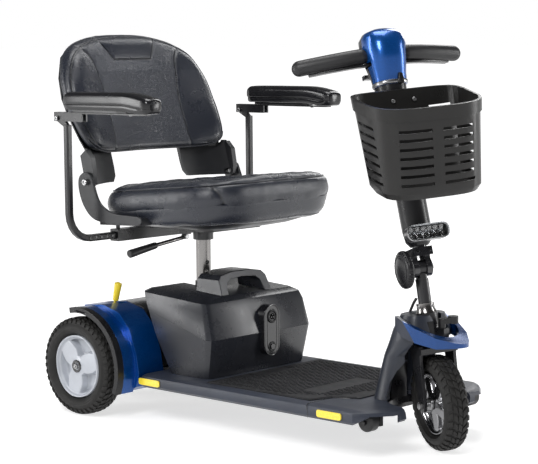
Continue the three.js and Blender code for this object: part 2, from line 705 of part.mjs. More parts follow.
function seatShell() {
  const pan = loft([
    ovalRing(120, -60, -300, 435 + GAP, 4, 32),
    tilted(ovalRing(176, -44, -364, 448, 4, 32), 0.03),
    tilted(ovalRing(204, -32, -392, SEAT.low - GAP, 3.6, 32)),
  ]);
  const lug = outline([
    [-196, 452], [-86, 450], [-40, 460], [-8, 488], [8, 534], [2, 560],
    [-28, 562], [-44, 540], [-60, 500], [-110, 474], [-196, 470],
  ]);
  const shelf = outline([[-196, 450], [-60, 445], [-60, 454.5], [-196, 467]]);
  const ears = [-1, 1].map((s) =>
    join(
      prismX(lug, ...[s * HINGE.x, s * (HINGE.x + 7)].sort(byValue)),
      prismX(shelf, ...[s * 150, s * (HINGE.x + 3)].sort(byValue)),
      hingePin(s, HINGE.x - 12, HINGE.x + 12, 6),
    ),
  );
  return join(pan, ...ears);
}

// The seat rises towards the front.
const tilted = (ring, tilt = SEAT.tilt) =>
  ring.map(([x, y, z]) => [x, y, z - tilt * (y - SEAT.middleY)]);

function seatCushion() {
  const { halfWidth: w, rearY, frontY, low, top } = SEAT;
  return loft([
    tilted(ovalRing(w - 16, rearY - 6, frontY + 22, low, 3.6, 32)),
    tilted(ovalRing(w - 2, rearY, frontY + 3, low + 20, 3.6, 32)),
    tilted(ovalRing(w, rearY, frontY, low + 44, 3.6, 32)),
    tilted(ovalRing(w - 8, rearY - 6, frontY + 12, top - 12, 3.6, 32)),
    tilted(ovalRing(w - 30, rearY - 22, frontY + 44, top, 3.6, 32)),
  ]);
}

const SEAT_LEVER = { x: -66, y: -160, z: 410 };

function seatLever() {
  const { x, y, z } = SEAT_LEVER;
  const stem = rod([x + 8, y, z], [-168, y + 8, 394], 4, 12);
  const grip = rod([-150, y + 6.5, 397], [-232, y + 12, 383], 7.5, 16, 9);
  return join(stem, grip, rod([x, y - 8, z], [x, y + 8, z], 5.7, 12));
}

// Where the back pad's rear face stands, at a place across and up.
// Its sides wrap forward, more so low down.
const backFace = (x, z) => {
  const height = THREE.MathUtils.clamp(z, 620, 720);
  const wrap = THREE.MathUtils.mapLinear(height, 620, 720, ...BACK.wrap);
  return 32 + BACK.lean * (z - 600) - wrap * (Math.abs(x) / BACK.halfWidth) ** 2.2;
};

const BACK_OUTLINE = [
  // height, half width
  [BACK.low, 208], [612, 222], [636, 231], [690, BACK.halfWidth], [728, BACK.halfWidth],
  [776, 228], [824, 200], [850, 160], [866, 112], [875, 60],
];

function backPad(grow, from, thickness, near) {
  const columns = 10;
  const rings = BACK_OUTLINE.map(([z, half], row) => {
    const edgeRow = row === 0 || row === BACK_OUTLINE.length - 1;
    const across = Array.from({ length: columns + 1 }, (_, i) => (i / columns) * 2 - 1);
    const rear = across.map((u) => [u * (half + grow), backFace(u * half, z) + from, z]);
    const thin = (u) => (edgeRow ? 0.55 : 1) * (Math.abs(u) > 0.99 ? 0.5 : 1) * thickness;
    const front = rear.map(([x, y], i) => [x, y + near * thin(across[i]), z]);
    return [...rear, ...front.reverse()];
  });
  return loft(rings);
}

const backCushion = () => backPad(0, 0, BACK.padThickness, -1);

// The shell's two legs run down beside the gap and wrap forward to the hinge.
const LEG = { inner: 112, outer: 236, rearY: 44, wrap: 58 };

function backShell() {
  const shell = backPad(-3, GAP, BACK.shellThickness, 1);
  const legs = [-1, 1].map((s) => {
    const half = [
      // height, inner and outer distance from the middle
      [616, LEG.inner, 230], [590, LEG.inner, 234], [566, LEG.inner, LEG.outer],
      [545, 114, LEG.outer], [532, 124, LEG.outer],
    ];
    const rings = half.map(([z, inner, outer]) => {
      const across = [0, 0.25, 0.5, 0.75, 1].map((u) => s * (inner + (outer - inner) * u));
      const outward = (x) => (Math.abs(x) - LEG.inner) / (LEG.outer - LEG.inner);
      const bend = (x) => LEG.rearY + GAP + 0.3 * (z - 616) - LEG.wrap * outward(x) ** 1.8;
      const thick = BACK.shellThickness;
      const rear = across.map((x) => [x, bend(x) + thick, z]);
      return [...rear, ...across.map((x) => [x, bend(x), z]).reverse()];
    });
    return loft(rings);
  });
  const knuckles = [-1, 1].map((s) => {
    const span = [s * (HINGE.x - 14), s * (HINGE.x - GAP)].sort(byValue);
    const arm = outline([
      [HINGE.y - 13, HINGE.z - 6], [HINGE.y, HINGE.z - 14], [HINGE.y + 14, HINGE.z - 8],
      [-4, 560], [6, 600], [-12, 614], [-30, 596], [HINGE.y - 14, 556],
    ]);
    return prismX(arm, ...span);
  });
  const bores = [-1, 1].map((s) => hingePin(s, 210, 250, 6.5));
  const padRoom = backPad(0.3, GAP * 0.5, BACK.padThickness + 2, -1);
  return cut(join(shell, ...legs, ...knuckles), ...bores, padRoom);
}

place(scooter, 'seat_post', seatPost(), CHROME);
place(scooter, 'swivel_plate', swivelPlate(), BLACK_STEEL);
place(scooter, 'seat_shell', seatShell(), GREY_PLASTIC);
place(scooter, 'seat_cushion', seatCushion(), VINYL);
place(scooter, 'seat_lever', seatLever(), BLACK_STEEL);
place(scooter, 'back_cushion', backCushion(), VINYL);
place(scooter, 'back_shell', backShell(), GREY_PLASTIC);

// ---------------------------------------------------------------- armrests
// A square section with its corners taken off.
const chamfered = (h, c) => [
  [-h + c, -h], [h - c, -h], [h, -h + c], [h, h - c], [h - c, h], [-h + c, h], [-h, h - c], [-h, -h + c],
];

function armrestTube(side) {
  const { x, y, low, top, size, bend } = ARM;
  const corner = Array.from({ length: 7 }, (_, i) => {
    const angle = -Math.PI / 2 + (i / 6) * (Math.PI / 2);
    return [side * (x - bend + bend * Math.cos(angle)), y, low + bend + bend * Math.sin(angle)];
  });
  const path = [[side * 60, y, low], ...corner, [side * x, y, top]];
  const tube = sweep(path, [0, 1, 0], chamfered(size / 2, 3));
  const ear = outline([
    [y - 8, top - 4], [y + 10, top - 4], [ARM.pivotY + 10, ARM.pivotZ - 6], [ARM.pivotY + 10, ARM.pivotZ + 4],
    [ARM.pivotY + 4, ARM.pivotZ + 9], [ARM.pivotY - 4, ARM.pivotZ + 9], [ARM.pivotY - 9, ARM.pivotZ + 4],
  ]);
  const plate = prismX(ear, side * x - 4, side * x + 4);
  const pin = rod([side * x - 14, ARM.pivotY, ARM.pivotZ], [side * x + 14, ARM.pivotY, ARM.pivotZ], 4, 16);
  return join(tube, plate, pin);
}

function armrestRail(side) {
  const { x, pivotY, pivotZ } = ARM;
  const web = box(side * x - 9, side * x + 9, -286, pivotY + 12, pivotZ + 11, pivotZ + 14);
  const cheeks = [-1, 1].map((s) => {
    const [from, to] = [side * x + s * 4.6, side * x + s * 9].sort(byValue);
    return box(from, to, -80, pivotY + 12, pivotZ - 7, pivotZ + 12);
  });
  const pinHole = rod([side * x - 20, pivotY, pivotZ], [side * x + 20, pivotY, pivotZ], 4.5, 16);
  return cut(join(web, ...cheeks), pinHole);
}

function armrestPad(side) {
  const low = ARM.pivotZ + 14 + GAP;
  const rings = [
    // y, half width, underside, top
    [-34, 20, low + 4, 742], [-40, 26, low, 748], [-80, 28, low, 751], [-180, 28, low, 749],
    [-250, 27, low, 745], [-286, 25, low, 740], [-303, 19, low, 733], [-312, 10, low + 5, 725],
  ];
  return loft(
    rings.map(([y, w, z0, z1]) => {
      const [middle, half] = [(z0 + z1) / 2, (z1 - z0) / 2];
      return Array.from({ length: 16 }, (_, i) => {
        const angle = ((i + 0.5) / 16) * Math.PI * 2;
        const bend = (value) => Math.sign(value) * Math.abs(value) ** 0.55;
        return [side * ARM.x + w * bend(Math.cos(angle)), y, middle + half * bend(Math.sin(angle))];
      });
    }),
  );
}

for (const [side, name] of [[-1, 'right'], [1, 'left']]) {
  place(scooter, `armrest_tube_${name}`, armrestTube(side), BLACK_STEEL);
  place(scooter, `armrest_rail_${name}`, armrestRail(side), BLACK_STEEL);
  place(scooter, `armrest_pad_${name}`, armrestPad(side), GLOSS_BLACK);
}

// ---------------------------------------------------------------- steered wheel and fork
const STEM_RADIUS = 14;

function fork() {
  const steerTube = rod(onSteerAxis(-70), onSteerAxis(HEAD.high + 0.6), STEM_RADIUS, 24);
  const crown = prismX(
    outline([[-868, 212], [-806, 212], [-802, 224], [-812, 231], [-846, 229], [-868, 224]]), -42, 42,
  );
  const legs = [-1, 1].map((s) => {
    const shape = outline([
      [-862, 228], [-812, 228], [-812, 206], [-836, 112], [-840, 92], [-850, 86], [-862, 90],
      [-865, 104], [-858, 200],
    ]);
    return prismX(shape, ...[s * 35, s * 42].sort(byValue));
  });
  const axleHole = rod([-60, FRONT_AXLE.y, FRONT_AXLE.z], [60, FRONT_AXLE.y, FRONT_AXLE.z], 5.4, 16);
  return cut(join(steerTube, crown, ...legs), axleHole);
}

function steeringStem() {
  const collar = rod(onSteerAxis(-7), onSteerAxis(2), 23, 28, 19);
  const ring = rod(onSteerAxis(0), onSteerAxis(13), 19, 28);
  const stem = rod(onSteerAxis(10), onSteerAxis(76), STEM_RADIUS, 24);
  const tongue = rod([-8, TILLER.pivotY, TILLER.pivotZ], [8, TILLER.pivotY, TILLER.pivotZ], 16, 24);
  const bolt = rod([-20, TILLER.pivotY, TILLER.pivotZ], [20, TILLER.pivotY, TILLER.pivotZ], 4.8, 16);
  const sides = [-1, 1].map((s) => {
    const [from, to] = [s * 8, s * 20].sort(byValue);
    return rod([from, TILLER.pivotY, TILLER.pivotZ], [to, TILLER.pivotY, TILLER.pivotZ], 25, 24);
  });
  const tube = rod(onSteerAxis(HEAD.high + 1.5), onSteerAxis(0), STEM_RADIUS, 24);
  return cut(join(cut(join(collar, ring, stem, tube), ...sides), tongue), bolt);
}

function frontAxle() {
  const { y, z } = FRONT_AXLE;
  const shaft = rod([-46, y, z], [46, y, z], 5, 16);
  const nuts = [-1, 1].map((s) => rod([s * (42 + GAP), y, z], [s * 49, y, z], 8.5, 6));
  return join(shaft, ...nuts);
}

function frontRim() {
  const wheel = rim({
    radius: FRONT_TYRE.rimRadius, width: 50, spokes: 5, hub: 16, bore: 5.5, out: -1, turn: 20,
  });
  return wheel.translate([0, FRONT_AXLE.y, FRONT_AXLE.z]);
}

const frontTyre = () => turnedX(tyreProfile(FRONT_TYRE), 36, 0, FRONT_AXLE.y, FRONT_AXLE.z);

place(steeredParts, 'fork', fork(), BLACK_STEEL);
place(steeredParts, 'steering_stem', steeringStem(), CHROME);
place(steeredParts, 'front_axle', frontAxle(), CHROME);
place(steeredParts, 'front_rim', frontRim(), RIM_SILVER);
place(steeredParts, 'front_tyre', frontTyre(), TYRE);

// ---------------------------------------------------------------- tiller (z up it, -y forward)
const COVER = { radius: 31, low: 44, top: 388 };

function tillerClamp() {
  const cheeks = [-1, 1].map((s) => {
    const [from, to] = [s * 8.5, s * 21].sort(byValue);
    return join(rod([from, 0, 0], [to, 0, 0], 20, 24), box(from, to, -14, 14, 0, 34));
  });
  const roof = box(-21, 21, -33, 15, 22, 40);
  const bolt = rod([-40, 0, 0], [40, 0, 0], 4.8, 16);
  const insideTube = rod([0, -TILLER.forward, 38], [0, -TILLER.forward, 374], 15, 20);
  return cut(join(...cheeks, roof, insideTube), bolt);
}

function tillerKnob() {
  const disc = rod([-26, 0, 0], [-48, 0, 0], 34, 24);
  const lobes = Array.from({ length: 8 }, (_, i) => {
    const angle = (i / 8) * Math.PI * 2;
    const [y, z] = [33 * Math.cos(angle), 33 * Math.sin(angle)];
    return rod([-28, y, z], [-46, y, z], 8, 12);
  });
  const boss = rod([-21 - GAP, 0, 0], [-30, 0, 0], 11, 20);
  const bolt = rod([-40, 0, 0], [26, 0, 0], 4.2, 16);
  const head = rod([21 + GAP, 0, 0], [28, 0, 0], 8, 6);
  return join(disc, ...lobes, boss, bolt, head);
}

function tillerCover() {
  const { radius, low, top } = COVER;
  const outer = loft([
    ovalRing(20, 20, -22, low, 2, 24), ovalRing(28, 27, -31, low + 10, 2, 24),
    ovalRing(radius, 30, -34, low + 34, 2, 24), ovalRing(radius, 30, -34, 300, 2, 24),
    ovalRing(radius + 2, 30, -36, top, 2.4, 24),
  ]);
  return cut(outer, rod([0, 0, 0], [0, 0, top - 10], 19.4, 24));
}

const HEAD_RINGS = [
  // half width, rear y, front y, height
  [36, 26, -36, COVER.top + GAP], [37, 32, -40, 410], [42, 44, -48, 440], [47, 52, -52, 474],
  [45, 50, -44, 496], [36, 38, -30, 508], [18, 18, -14, 514],
];

const headShape = () => loft(HEAD_RINGS.map(([w, rear, front, z]) => ovalRing(w, rear, front, z, 2.5, 32)));

function barPath(drop = 0, reach = BAR.halfSpan) {
  const straight = 44; // half the length inside the head
  const steps = 5;
  const half = Array.from({ length: steps + 1 }, (_, i) => {
    const t = i / steps;
    return [straight + (reach - straight) * t, BAR.sweep * t ** 1.4, BAR.height - drop];
  });
  return [...mirrored(half).reverse(), ...half];
}

function handlebar() {
  const path = barPath().map((p) => new THREE.Vector3(...p));
  const tips = [path.slice(0, 2), path.slice(-2).reverse()].map(([tip, inner]) => {
    const outward = tip.clone().sub(inner).normalize();
    const [from, to] = [-3, 7].map((d) => tip.clone().addScaledVector(outward, d).toArray());
    return rod(from, to, BAR.radius - 0.4, 16, 9);
  });
  return join(sweep(barPath(), [0, 0, 1], circle(BAR.radius, 16)), ...tips);
}

function headRooms() {
  const bar = sweep(barPath(), [0, 0, 1], circle(BAR.radius + GAP + 0.1, 16));
  const slot = box(-60, 60, -20, 24, BAR.height - 26, BAR.height - 16);
  return [bar, slot];
}

function headCover() {
  return cut(headShape(), box(-80, 80, -GAP / 2, 90, 380, 530), ...headRooms());
}

function consoleShell() {
  const front = box(-80, 80, -90, GAP / 2, 380, 530);
  const dial = rod([0, 20, 484], [0, 70, 498], 14, 20);
  const keyHole = rod([-22, 10, 412], [-22, 70, 430], 5.6, 16);
  const hornHole = rod([22, 10, 412], [22, 70, 430], 7.6, 16);
  return cut(headShape(), front, ...headRooms(), dial, keyHole, hornHole);
}

function throttleLever() {
  const path = barPath(21, BAR.halfSpan - 22);
  const blade = sweep(path, [0, 0, 1], [[-2.5, -7], [2.5, -7], [2.5, 7], [-2.5, 7]]);
  return cut(blade, rod([0, 0, 430], [0, 0, 450], 4, 12));
}

// Dials and buttons stand on the rider's side of the head.
const speedDial = () => rod([0, 40, 489.6], [0, 60, 495.2], 13, 20);
const key = () => {
  const blade = rod([-22, 26, 416.8], [-22, 56, 425.8], 5, 16);
  return join(blade, box(-31, -13, 52, 66, 421, 431));
};
const hornButton = () => rod([22, 24, 416.2], [22, 46, 422.8], 7, 16);

// ---- headlight
const LAMP = { low: 48, high: 82, halfWidth: 47, back: -38.5, glass: -60, front: -67 };
const lampOutline = (inset) =>
  roundedRect(
    -LAMP.halfWidth + inset, LAMP.halfWidth - inset, LAMP.low + inset, LAMP.high - inset, 15 - inset,
  );

function headlightHousing() {
  const shell = prismY(lampOutline(0), LAMP.glass + GAP, LAMP.back, 2);
  const bowl = prismY(lampOutline(4), LAMP.glass - 5, LAMP.back - 6);
  const neck = box(-16, 16, LAMP.back - 2, -37, 54, 76);
  return join(cut(shell, bowl), neck);
}

const headlightLens = () => prismY(lampOutline(0.5), LAMP.front, LAMP.glass, 2);

// ---- basket: a back and a front point, and a half width, at the floor and at the rim
const BASKET = {
  floor: { back: [-42, 172], front: [-152, 119], half: 112 },
  rim: { back: [-54, 370], front: [-214, 294], half: 124 },
  wall: 3,
};

const SLOT = { rows: 7, first: 0.14, pitch: 0.098, height: 7 };

// A D-shaped ring some way up the basket, 0 at the floor and 1 at the rim.
function basketRing(t, grow, lift = 0) {
  const blend = (a, b) => a + (b - a) * t;
  const { floor, rim: top } = BASKET;
  const back = [0, 1].map((k) => blend(floor.back[k], top.back[k]));
  const front = [0, 1].map((k) => blend(floor.front[k], top.front[k]));
  const half = blend(floor.half, top.half) + grow;
  const along = new THREE.Vector2(front[0] - back[0], front[1] - back[1]);
  const depth = along.length();
  along.normalize();
  const count = 24;
  return Array.from({ length: count }, (_, i) => {
    const angle = ((i + 0.5) / count) * Math.PI * 2;
    const [c, s] = [Math.cos(angle), Math.sin(angle)];
    const squareness = s > 0 ? 0.52 : 0.34; // rounder at the front, square at the back
    const x = half * Math.sign(c) * Math.abs(c) ** squareness;
    const d = depth / 2 + (depth / 2 + grow) * Math.sign(s) * Math.abs(s) ** squareness;
    const taper = 1 - 0.12 * Math.max(s, 0);
    return [x * taper, back[0] + along.x * d, back[1] + along.y * d + lift];
  });
}

function basket() {
  const { wall } = BASKET;
  const lip = 3;
  const outer = loft([
    basketRing(0, -8, -2), basketRing(0.06, 0), basketRing(0.86, 0),
    basketRing(0.861, lip), basketRing(1, lip),
  ]);
  const inner = loft([
    basketRing(0.02, -wall - 6, wall), basketRing(0.08, -wall), basketRing(1.05, -wall),
  ]);
  const rows = Array.from({ length: SLOT.rows }, (_, i) => SLOT.first + i * SLOT.pitch);
  const slots = rows.flatMap((t) => {
    const [front, back] = [basketRing(t, 0)[6], basketRing(t, 0)[18]];
    const slope = (back[2] - front[2]) / (back[1] - front[1]);
    const bar = (x0, x1, y0, y1) => {
      const z = (y) => front[2] + slope * (y - front[1]);
      const side = outline([[y0, z(y0)], [y1, z(y1)], [y1, z(y1) + SLOT.height], [y0, z(y0) + SLOT.height]]);
      return prismX(side, x0, x1);
    };
    const middle = (front[1] + back[1]) / 2;
    return [
      bar(-82, -12, front[1] - 20, front[1] + 50),
      bar(12, 82, front[1] - 20, front[1] + 50),
      bar(-200, -60, middle - 26, middle + 40),
      bar(60, 200, middle - 26, middle + 40),
    ];
  });
  const backSlots = [-1, 1].map((s) => {
    const [x0, x1] = [s * 56, s * 104].sort(byValue);
    return box(x0, x1, -80, -30, 318, 330);
  });
  const bracket = box(-30, 30, -56, -36, 335, 360);
  return join(cut(outer, inner, ...slots, ...backSlots), cut(bracket, inner));
}

place(tiller, 'tiller_clamp', tillerClamp(), BLACK_STEEL);
place(tiller, 'tiller_knob', tillerKnob(), BLACK_PLASTIC);
place(mast, 'tiller_cover', tillerCover(), BLACK_PLASTIC);
place(mast, 'head_cover', headCover(), BLUE);
place(mast, 'console', consoleShell(), BLACK_PLASTIC);
place(mast, 'handlebar', handlebar(), RUBBER);
place(mast, 'throttle_lever', throttleLever(), BLACK_PLASTIC);
place(mast, 'speed_dial', speedDial(), BLACK_PLASTIC);
place(mast, 'key', key(), YELLOW);
place(mast, 'horn_button', hornButton(), YELLOW);
place(mast, 'headlight_housing', headlightHousing(), CHROME);
place(mast, 'headlight_lens', headlightLens(), CLEAR);
place(mast, 'basket', basket(), BLACK_PLASTIC);

export default scooter;
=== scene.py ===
import json
import math

import bpy
import numpy as np
from mathutils import Matrix, Vector
from mathutils.kdtree import KDTree


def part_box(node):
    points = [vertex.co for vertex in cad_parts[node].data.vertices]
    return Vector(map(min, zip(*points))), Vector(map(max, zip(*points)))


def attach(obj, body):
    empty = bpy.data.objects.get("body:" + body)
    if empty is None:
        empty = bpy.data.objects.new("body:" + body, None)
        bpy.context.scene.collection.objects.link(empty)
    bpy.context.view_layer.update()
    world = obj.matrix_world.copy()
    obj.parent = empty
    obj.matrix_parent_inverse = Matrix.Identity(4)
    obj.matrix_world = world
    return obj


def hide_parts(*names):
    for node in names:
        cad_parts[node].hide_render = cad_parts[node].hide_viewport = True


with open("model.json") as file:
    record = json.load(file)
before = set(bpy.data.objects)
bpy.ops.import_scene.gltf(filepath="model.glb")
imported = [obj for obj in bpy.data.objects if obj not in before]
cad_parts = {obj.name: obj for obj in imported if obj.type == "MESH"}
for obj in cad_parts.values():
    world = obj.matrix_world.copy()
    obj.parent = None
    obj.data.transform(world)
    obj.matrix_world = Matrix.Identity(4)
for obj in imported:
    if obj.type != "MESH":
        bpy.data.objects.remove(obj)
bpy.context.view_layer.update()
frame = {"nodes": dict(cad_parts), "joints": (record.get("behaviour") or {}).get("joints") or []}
nodes = frame["nodes"]
joints = {j["name"]: j for j in frame["joints"]}
MM = 0.001
FAR = 1e9

# ---------------------------------------------------------------- camera and studio
# The view that the photograph was taken from: a long lens, low, from the front right.
CAMERA_AT = Vector((-2.9005, -2.6582, 0.8535))
CAMERA_TO = Vector((0.0266, 0.0562, 0.4246))
CAMERA_LENS = 117.5
CAMERA_ROLL = math.radians(-0.45)
LIT_POINT = (0, 0, 0.45)
# name, place, width and height, power
LIGHTS = [
    ("key", (-2.6, -1.2, 2.6), (0.9, 1.4), 78),
    ("top", (0.3, 0.2, 3.0), (1.4, 1.4), 44),
    ("rim", (2.6, 1.0, 2.2), (0.6, 2.2), 26),
    ("side", (-2.5, 2.2, 1.25), (0.7, 2.0), 46),
    ("front", (2.4, -2.5, 1.3), (0.7, 2.0), 46),
]


def make_camera():
    data = bpy.data.cameras.new("camera")
    data.lens = CAMERA_LENS
    data.sensor_width = 36
    data.clip_end = 500
    cam = bpy.data.objects.new("camera", data)
    bpy.context.scene.collection.objects.link(cam)
    cam.location = CAMERA_AT
    aim = (CAMERA_TO - CAMERA_AT).to_track_quat("-Z", "Y")
    cam.rotation_mode = "QUATERNION"
    cam.rotation_quaternion = aim @ Matrix.Rotation(CAMERA_ROLL, 3, "Z").to_quaternion()
    bpy.context.scene.camera = cam


def area_light(name, at, to, size, power):
    data = bpy.data.lights.new(name, "AREA")
    data.shape = "RECTANGLE"
    data.size, data.size_y = size
    data.energy = power
    lamp = bpy.data.objects.new(name, data)
    bpy.context.scene.collection.objects.link(lamp)
    lamp.location = at
    lamp.rotation_euler = (Vector(to) - Vector(at)).to_track_quat("-Z", "Y").to_euler()


def make_studio():
    scene = bpy.context.scene
    scene.view_settings.view_transform = "Standard"
    world = bpy.data.worlds.new("studio")
    scene.world = world
    world.use_nodes = True
    tree = world.node_tree
    back = tree.nodes["Background"]
    # white behind the object, dimmer overhead, so that dark plastic keeps its depth
    coords = tree.nodes.new("ShaderNodeTexCoord")
    split = tree.nodes.new("ShaderNodeSeparateXYZ")
    fade = tree.nodes.new("ShaderNodeMapRange")
    for end, value in (("From Min", 0.05), ("From Max", 0.28), ("To Min", 1.0), ("To Max", 0.08)):
        fade.inputs[end].default_value = value
    tree.links.new(coords.outputs["Generated"], split.inputs[0])
    tree.links.new(split.outputs["Z"], fade.inputs["Value"])
    tree.links.new(fade.outputs["Result"], back.inputs["Strength"])
    back.inputs["Color"].default_value = (1, 1, 1, 1)
    for name, at, size, power in LIGHTS:
        area_light(name, at, LIT_POINT, size, power)


# ---------------------------------------------------------------- mesh helpers
def piece(name, verts, faces, material, smooth=True):
    mesh = bpy.data.meshes.new(name)
    mesh.from_pydata(np.asarray(verts, float).tolist(), [], [tuple(f) for f in faces])
    mesh.update()
    obj = bpy.data.objects.new(name, mesh)
    bpy.context.scene.collection.objects.link(obj)
    mesh.materials.append(material)
    shade(obj, smooth)
    return obj


def ring_faces(rings, count):
    """Quads over rings of count points each, with flat caps, all facing the same way."""
    faces = []
    for r in range(rings - 1):
        for i in range(count):
            j = (i + 1) % count
            faces.append((r * count + i, r * count + j, (r + 1) * count + j, (r + 1) * count + i))
    faces.append(tuple(range(count))[::-1])
    faces.append(tuple((rings - 1) * count + i for i in range(count)))
    return faces


def face_out(obj):
    """Turns a closed mesh's faces outwards."""
    mesh = obj.data
    volume = 0
    for p in mesh.polygons:
        a = mesh.vertices[p.vertices[0]].co
        for k in range(1, len(p.vertices) - 1):
            b, c = (mesh.vertices[p.vertices[k + n]].co for n in (0, 1))
            volume += a.dot(b.cross(c))
    if volume < 0:
        mesh.flip_normals()
    return obj


def loop_faces(rings, count):
    """Quads over rings of count points each, the last ring joined to the first."""
    return [
        (r * count + i, r * count + (i + 1) % count,
         (r + 1) % rings * count + (i + 1) % count, (r + 1) % rings * count + i)
        for r in range(rings) for i in range(count)
    ]


def shade(obj, smooth):
    """Smooth or flat shading, one value for each face or one for all."""
    faces = obj.data.polygons
    faces.foreach_set("use_smooth", smooth if isinstance(smooth, list) else [smooth] * len(faces))


def sideways(axis, hint=(0, 0, 1)):
    """An axis as a unit vector, and two directions square to it."""
    axis = np.array(Vector(axis).normalized())
    u = np.cross(axis, hint)
    u /= np.linalg.norm(u)
    return axis, u, np.cross(axis, u)


def ride_all(objects, body):
    """Puts pieces on a body."""
    for obj in objects:
        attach(obj, body)


def loft(name, rings, material):
    rings = np.asarray(rings, float)
    return face_out(piece(name, rings.reshape(-1, 3), ring_faces(len(rings), rings.shape[1]), material))


def frames_along(points, closed):
    """Two sideways directions at each point of a path, turning as little as they can."""
    points = np.asarray(points, float)
    ahead = np.roll(points, -1, 0) - np.roll(points, 1, 0)
    if not closed:
        ahead[0] = points[1] - points[0]
        ahead[-1] = points[-1] - points[-2]
    ahead /= np.linalg.norm(ahead, axis=1)[:, None]
    side = np.cross(ahead[0], (0, 0, 1) if abs(ahead[0][2]) < 0.9 else (0, 1, 0))
    sides = []
    for a in ahead:
        side = side - a * side.dot(a)
        side /= np.linalg.norm(side)
        sides.append(side.copy())
    sides = np.array(sides)
    return sides, np.cross(ahead, sides)


def tube(name, points, radius, material, sides=8, closed=False):
    points = np.asarray(points, float)
    u, v = frames_along(points, closed)
    angle = np.linspace(0, 2 * math.pi, sides, endpoint=False)
    rings = (
        points[:, None]
        + radius * np.cos(angle)[None, :, None] * u[:, None]
        + radius * np.sin(angle)[None, :, None] * v[:, None]
    )
    if closed:
        return face_out(piece(name, rings.reshape(-1, 3), loop_faces(len(points), sides), material))
    return loft(name, rings, material)


def turned(name, profile, centre, axis, material, sides=96, start=(0, 0, 1)):
    """A closed profile of (radius, distance along the axis) turned about an axis."""
    axis = np.array(Vector(axis).normalized())
    u = np.array(start, float)
    u -= axis * u.dot(axis)
    u /= np.linalg.norm(u)
    v = np.cross(axis, u)
    profile = np.asarray(profile, float)
    angle = np.linspace(0, 2 * math.pi, sides, endpoint=False)
    spin = np.cos(angle)[:, None] * u + np.sin(angle)[:, None] * v
    rings = (
        np.array(centre)
        + profile[None, :, 0, None] * spin[:, None]
        + profile[None, :, 1, None] * axis
    )
    return face_out(piece(name, rings.reshape(-1, 3), loop_faces(sides, len(profile)), material))


def bevelled(obj, width, segments=2, angle=32):
    mod = obj.modifiers.new("edges", "BEVEL")
    mod.width = width * MM
    mod.segments = segments
    mod.limit_method = "ANGLE"
    mod.angle_limit = math.radians(angle)
    mod.harden_normals = True
    return obj


def attribute(obj, name, values):
    layer = obj.data.attributes.new(name, "FLOAT", "POINT")
    layer.data.foreach_set("value", np.asarray(values, np.float32))


def smooth_curve(points, count, closed=False):
    """Catmull-Rom through the points, evenly spaced."""
    p = np.asarray(points, float)
    n = len(p)
    out = []
    for i in range(n if closed else n - 1):
        at = [p[(i + k) % n] if closed else p[min(max(i + k, 0), n - 1)] for k in (-1, 0, 1, 2)]
        for t in np.linspace(0, 1, 24, endpoint=False):
            out.append(0.5 * (2 * at[1] + (at[2] - at[0]) * t
                              + (2 * at[0] - 5 * at[1] + 4 * at[2] - at[3]) * t ** 2
                              + (3 * at[1] - at[0] - 3 * at[2] + at[3]) * t ** 3))
    out.append(p[0] if closed else p[-1])
    out = np.array(out)
    run = np.concatenate([[0], np.cumsum(np.linalg.norm(np.diff(out, axis=0), axis=1))])
    stops = np.linspace(0, run[-1], count, endpoint=not closed)
    return np.column_stack([np.interp(stops, run, out[:, k]) for k in range(out.shape[1])])


